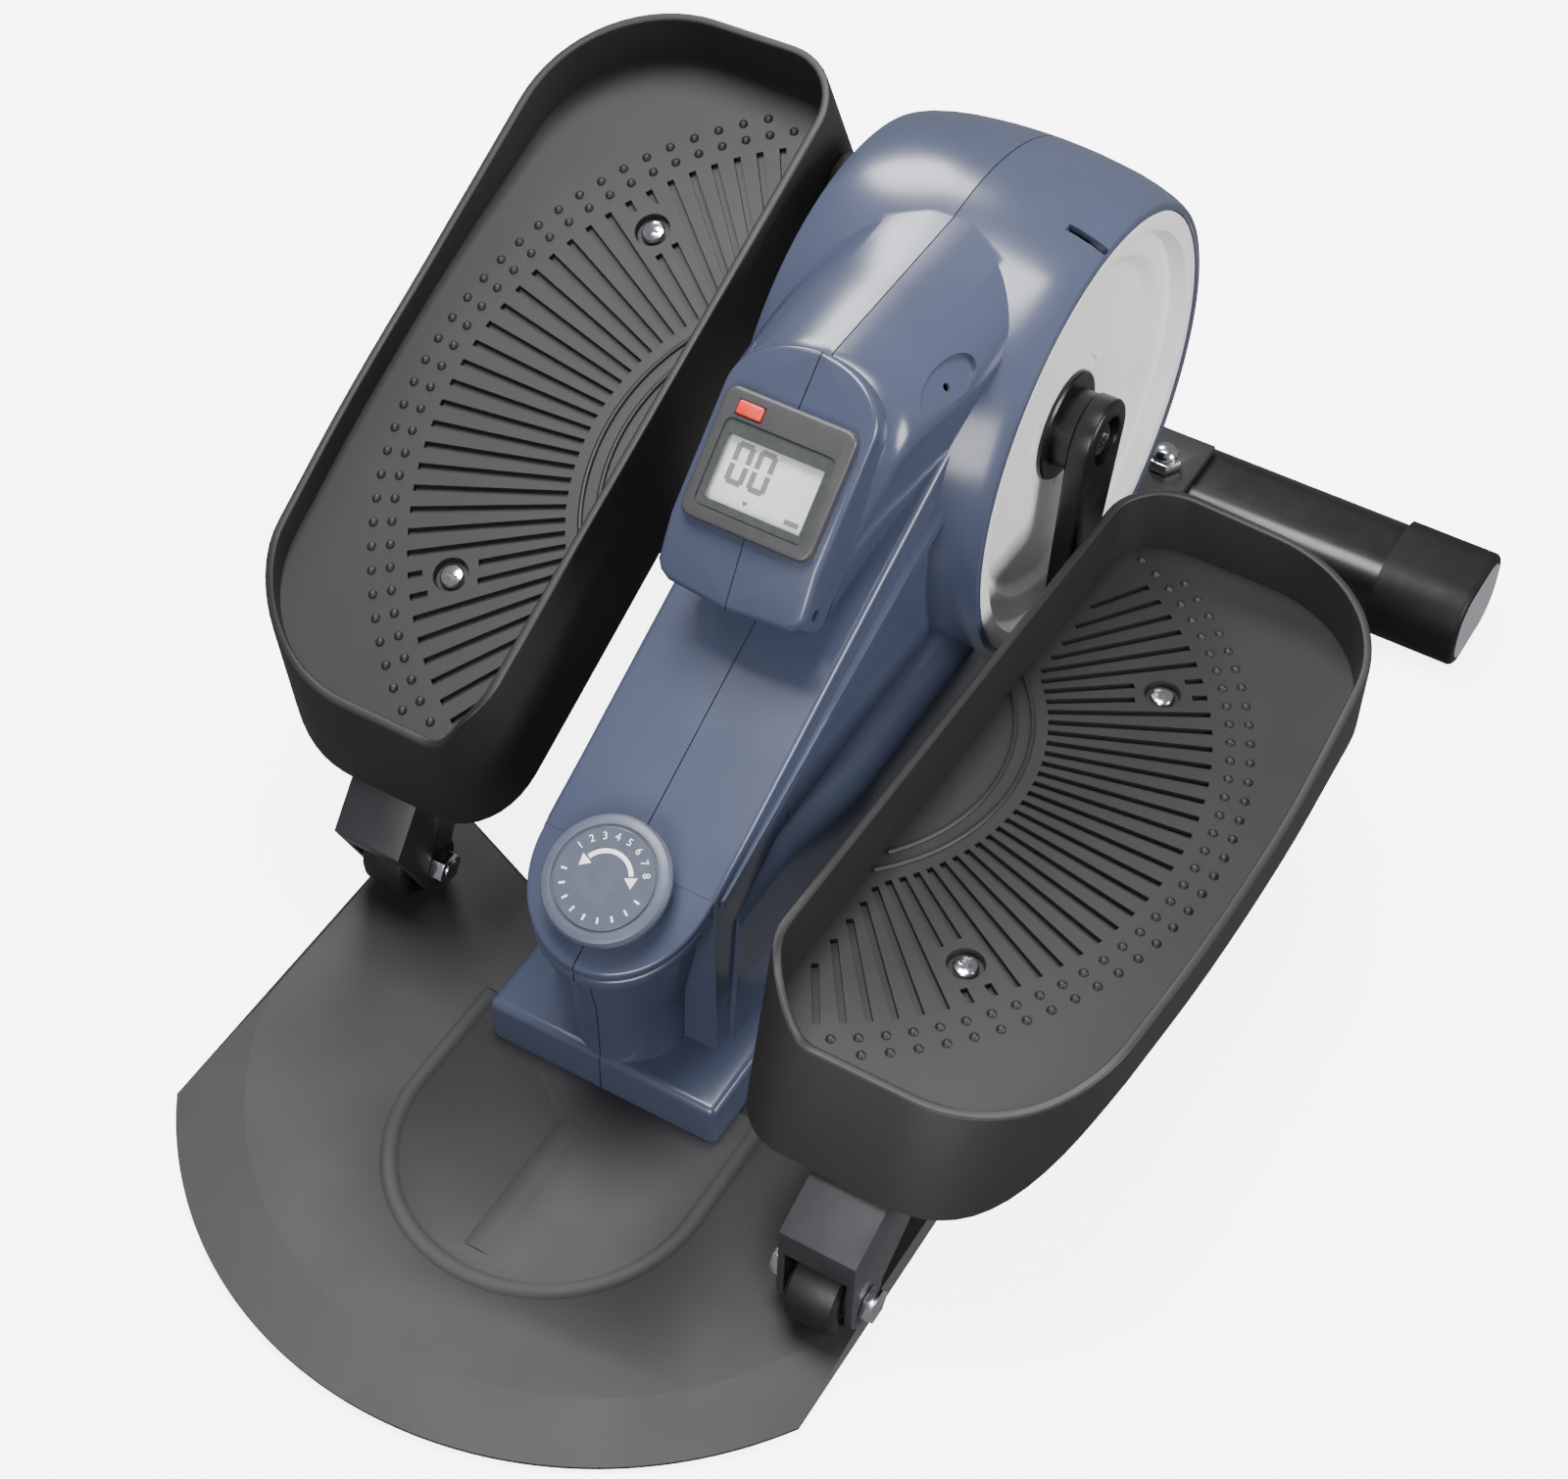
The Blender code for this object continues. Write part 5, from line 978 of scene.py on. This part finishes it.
bow = bmesh.new()
strip = ((BOW_IN, 0), (BOW_OUT, 0), (BOW_OUT, INK), (BOW_IN, INK))
bow.faces.new([bow.verts.new(Vector((0, r, z)) * MM) for r, z in strip])
ops.transform(bow, matrix=Matrix.Rotation(math.radians(-BOW_HALF), 4, "Z"), verts=bow.verts[:])
ops.spin(bow, geom=bow.faces[:], cent=(0, 0, 0), axis=Z, angle=math.radians(2 * BOW_HALF), steps=32)
stamp(bow, on_dial(0, 0))
for way in (1, -1):
    tip = upward([(0, -2.6), (0, 2.6), (way * -4.2, 0)], 0, INK)
    stamp(tip, on_dial(way * TIP_ANGLE, (BOW_IN + BOW_OUT) / 2))
for i in range(8):
    words = bpy.data.curves.new("number", "FONT")
    words.body, words.size, words.align_x, words.align_y = str(i + 1), NUMBER_SIZE * MM, "CENTER", "CENTER"
    words.extrude = INK / 2 * MM
    maker = link(bpy.data.objects.new("number", words))
    graph = bpy.context.evaluated_depsgraph_get()
    number = bmesh.new()
    number.from_mesh(bpy.data.meshes.new_from_object(maker.evaluated_get(graph)))
    bpy.data.objects.remove(maker, do_unlink=True)
    stamp(number, on_dial(NUMBER_FIRST - NUMBER_STEP * i, MARK_RADIUS, DIAL_TOP + INK / 2))
for angle in range(100, 261, 20):
    stroke = upward([(-0.4, -1.2), (0.4, -1.2), (0.4, 1.2), (-0.4, 1.2)], 0, INK)
    stamp(stroke, on_dial(angle, MARK_RADIUS))
ops.transform(marks, matrix=KNOB_PLACE, verts=marks.verts[:])
piece("dial_marks", marks, "knob_set", "ink", slot="label")

# %% [markdown]
# The display unit: a grey frame with rounded rim, a shaded step around the window, the pale display
# with two tall figures and a red push button. All are made flat in the frame of the sloped console and
# then tilted into place together. The clear window over the display is the CAD's own.

# %% Display unit
WINDOW_LOW, WINDOW_HIGH = (-20.2, 8.8), (20.2, 33.8)
FIGURE, FIGURES_X = 0.1, (-16.8, -7.4)
SEGMENTS = (((0, 25.3), (2.2, 31.8)), ((5.6, 25.3), (7.8, 31.8)), ((0, 17.6), (2.2, 24.1)),
            ((5.6, 17.6), (7.8, 24.1)), ((1.0, 30.7), (6.8, 32.9)), ((1.0, 16.5), (6.8, 18.7)))
SIGNS = ([(-6.6, 12.6), (-5.4, 10.6), (-4.2, 12.6)], [(11.5, 10.6), (17.5, 10.6), (17.5, 12.6), (11.5, 12.6)])


def on_console(name, bm, body, finish, *nodes, slot=""):
    return piece(name, placed(bm, CONSOLE_PLACE), body, finish, *nodes, slot=slot)


bezel = block((-27.7, 0, 0.3), (27.7, 51, 4.3))
round_off(bezel, running(bezel, Z), 5, 8)
round_off(bezel, [e for e in sharp(bezel, 60) if min(v.co.z for v in e.verts) > 4 * MM], 1.4, 4)
step = block((-23.3, 5.4, 3.0), (23.3, 39.6, 9))
round_off(step, running(step, Z), 3, 6)
well = block((-21.0, 41.0, -5), (-9.8, 47.0, 9))
bezel = cut(bezel, step, block((*WINDOW_LOW, -5), (*WINDOW_HIGH, 9)), well)
on_console("display_frame", bezel, "chassis", "bezel", "console_bezel")
shade = cut(block((-23.0, 5.7, 2.9), (23.0, 39.3, 3.3)), block((*WINDOW_LOW, 0), (*WINDOW_HIGH, 9)))
on_console("display_shade", shade, "chassis", "segment", slot="bezel")
back = block((-21.7, 7.3, -2.6), (21.7, 35.3, 0), 0.3, 2)
on_console("display_glass_back", back, "chassis", "display", "display")
key = block((-20.6, 41.3, 1.5), (-10.2, 46.7, 5.5), 0.8, 3)
on_console("button_cap", key, "button", "button", "reset_button")
figures = bmesh.new()
for left in FIGURES_X:
    for low, high in SEGMENTS:
        bar = block((left + low[0], low[1], 0), (left + high[0], high[1], FIGURE))
        figures.from_mesh(as_mesh(bar))
for outline in SIGNS:
    figures.from_mesh(as_mesh(upward(outline, 0, FIGURE)))
on_console("display_figures", figures, "chassis", "segment", slot="display")

# %% [markdown]
# The rear stabilizer is a flattened tube with moulded black end caps. A thin pale grey plate on each flat end
# is a painted reflection of the light the ends catch. The tube's outline is a box with its long edges rounded
# almost to half its height. Acorn nuts hold it to the saddle: a hexagon with a turned dome on a stud.

# %% Rear stabilizer and acorn nuts
STAB = (274.0, 21.0)
NUT_X, NUT_Y, NUT_Z, NUT_HIGH = 47.0, 263.0, 44.6, 6
CROWN = [(49, 0), (49, 6.4), (51.5, 6.3), (53.2, 5.6), (54.6, 4.3), (55.4, 2.6), (55.7, 0)]


def bar_across(ends, half_deep, half_high, radius, segments=10):
    """A bar along the stabilizer's axis with its long edges rounded."""
    low, high = [Vector((x, *STAB)) for x in sorted(ends)]
    half = Vector((0, half_deep, half_high))
    bm = block(low - half, high + half)
    return round_off(bm, running(bm, X), radius, segments)


tube = cut(bar_across((-195.7, 195.7), 26, 19, 17), bar_across((-250, 250), 23.5, 16.5, 14.5, 8))
piece("stabilizer_tube", tube, "chassis", "tube_black", "rear_stabilizer")
for side, sign in SIDES:
    cap = bar_across((sign * 158.0, sign * 200.0), 28, 21, 18)
    round_off(cap, [e for e in sharp(cap, 60) if all(abs(v.co.x) > 0.199 for v in e.verts)], 2.5, 4)
    cap = cut(cap, bar_across((sign * 120.0, sign * 196.0), 26.3, 19.3, 17))
    piece("stabilizer_end_" + side, cap, "chassis", "cap_black", "stabilizer_cap_" + side)
    # the pale grey plate on each cap end is a painted reflection of the light that end catches
    face = bar_across((sign * 199.2, sign * 200.3), 24, 17, 14.5)
    piece("stabilizer_end_face_" + side, face, "chassis", "cap_grey", slot="cap_black")
    spot = Vector((sign * NUT_X, NUT_Y, 0))
    nut = upward(hexagon(spot, 8), NUT_Z, NUT_HIGH)
    round_off(nut, sharp(nut, 80), 0.6, 2)
    nut = joined(nut, turned(CROWN, Z, spot * MM, 40), rod(3.3, 46, 4, Z, spot * MM, 24))
    piece("acorn_nut_" + side, nut, "chassis", "chrome", "stabilizer_bolt_" + side)

# %% [markdown]
# Folded brackets, tubes and bolts already have the right shape in the CAD, but their edges are knife
# sharp, which no bent sheet is. A copy of the solid is merged, its flat triangles are dissolved into
# whole faces, and its sharp edges get a small round that catches the light.

# %% Softened metal parts
def softened(name, node, body, finish, radius):
    bm = bmesh.new()
    bm.from_mesh(frame["nodes"][node].data)
    ops.remove_doubles(bm, verts=bm.verts[:], dist=1e-6)
    ops.dissolve_limit(bm, angle_limit=math.radians(1), verts=bm.verts[:], edges=bm.edges[:])
    round_off(bm, sharp(bm, 40), radius, 2)
    return piece(name, bm, body, finish, node)


SOFT = (("bracket_folded_", "roller_bracket_", "pedal_", "steel_grey", 0.5),
        ("arm_tube_", "pedal_arm_", "pedal_", "steel_dark", 0.5),
        ("axle_bolt_", "roller_axle_", "carriage_", "chrome", 0.4),
        ("pin_bush_", "pivot_bush_", "pedal_", "cap_black", 0.5))
for side, _ in SIDES:
    for name, node, body, finish, radius in SOFT:
        softened(name + side, node + side, body + side, finish, radius)
softened("spine_and_saddle", "main_frame", "chassis", "steel_dark", 0.5)

# %% [markdown]
# Each roller is a hard black wheel with a slightly crowned tread, a groove on each face and a hub. It is
# turned about its axle from ten points on each side.

# %% Rollers
WHEEL = [(0, 18.0), (5, 17.9), (9, 17.4), (10.4, 16.2), (11, 14.6), (11, 12.2), (9.2, 11.4), (9.2, 8.2),
         (11, 7.4), (11, 4.3)]
for side, sign in SIDES:
    centre = Vector((sign * ROLLER_X, ROLLER[side][0], ROLLER_Z)) * MM
    wheel = turned(two_sided(WHEEL), X, centre, 72, True)
    piece("roller_wheel_" + side, wheel, "wheel_" + side, "roller", "roller_" + side)

# %% [markdown]
# The remaining CAD nodes are shafts, bearings, pulleys and the brake inside the housing, and the pads
# under the plate. Their solids are right as they are, so each only takes the finish of its record slot.

# %% Finishes for the nodes that stay
slots = {part["node"]: part["material_slot"] for part in frame["record"]["subparts"]}
kept = [name for name, obj in frame["nodes"].items() if not obj.hide_render]
for name in kept:
    mesh = frame["nodes"][name].data
    mesh.materials.clear()
    mesh.materials.append(FINISH[slots[name]])
print("nodes that stay:", len(kept))
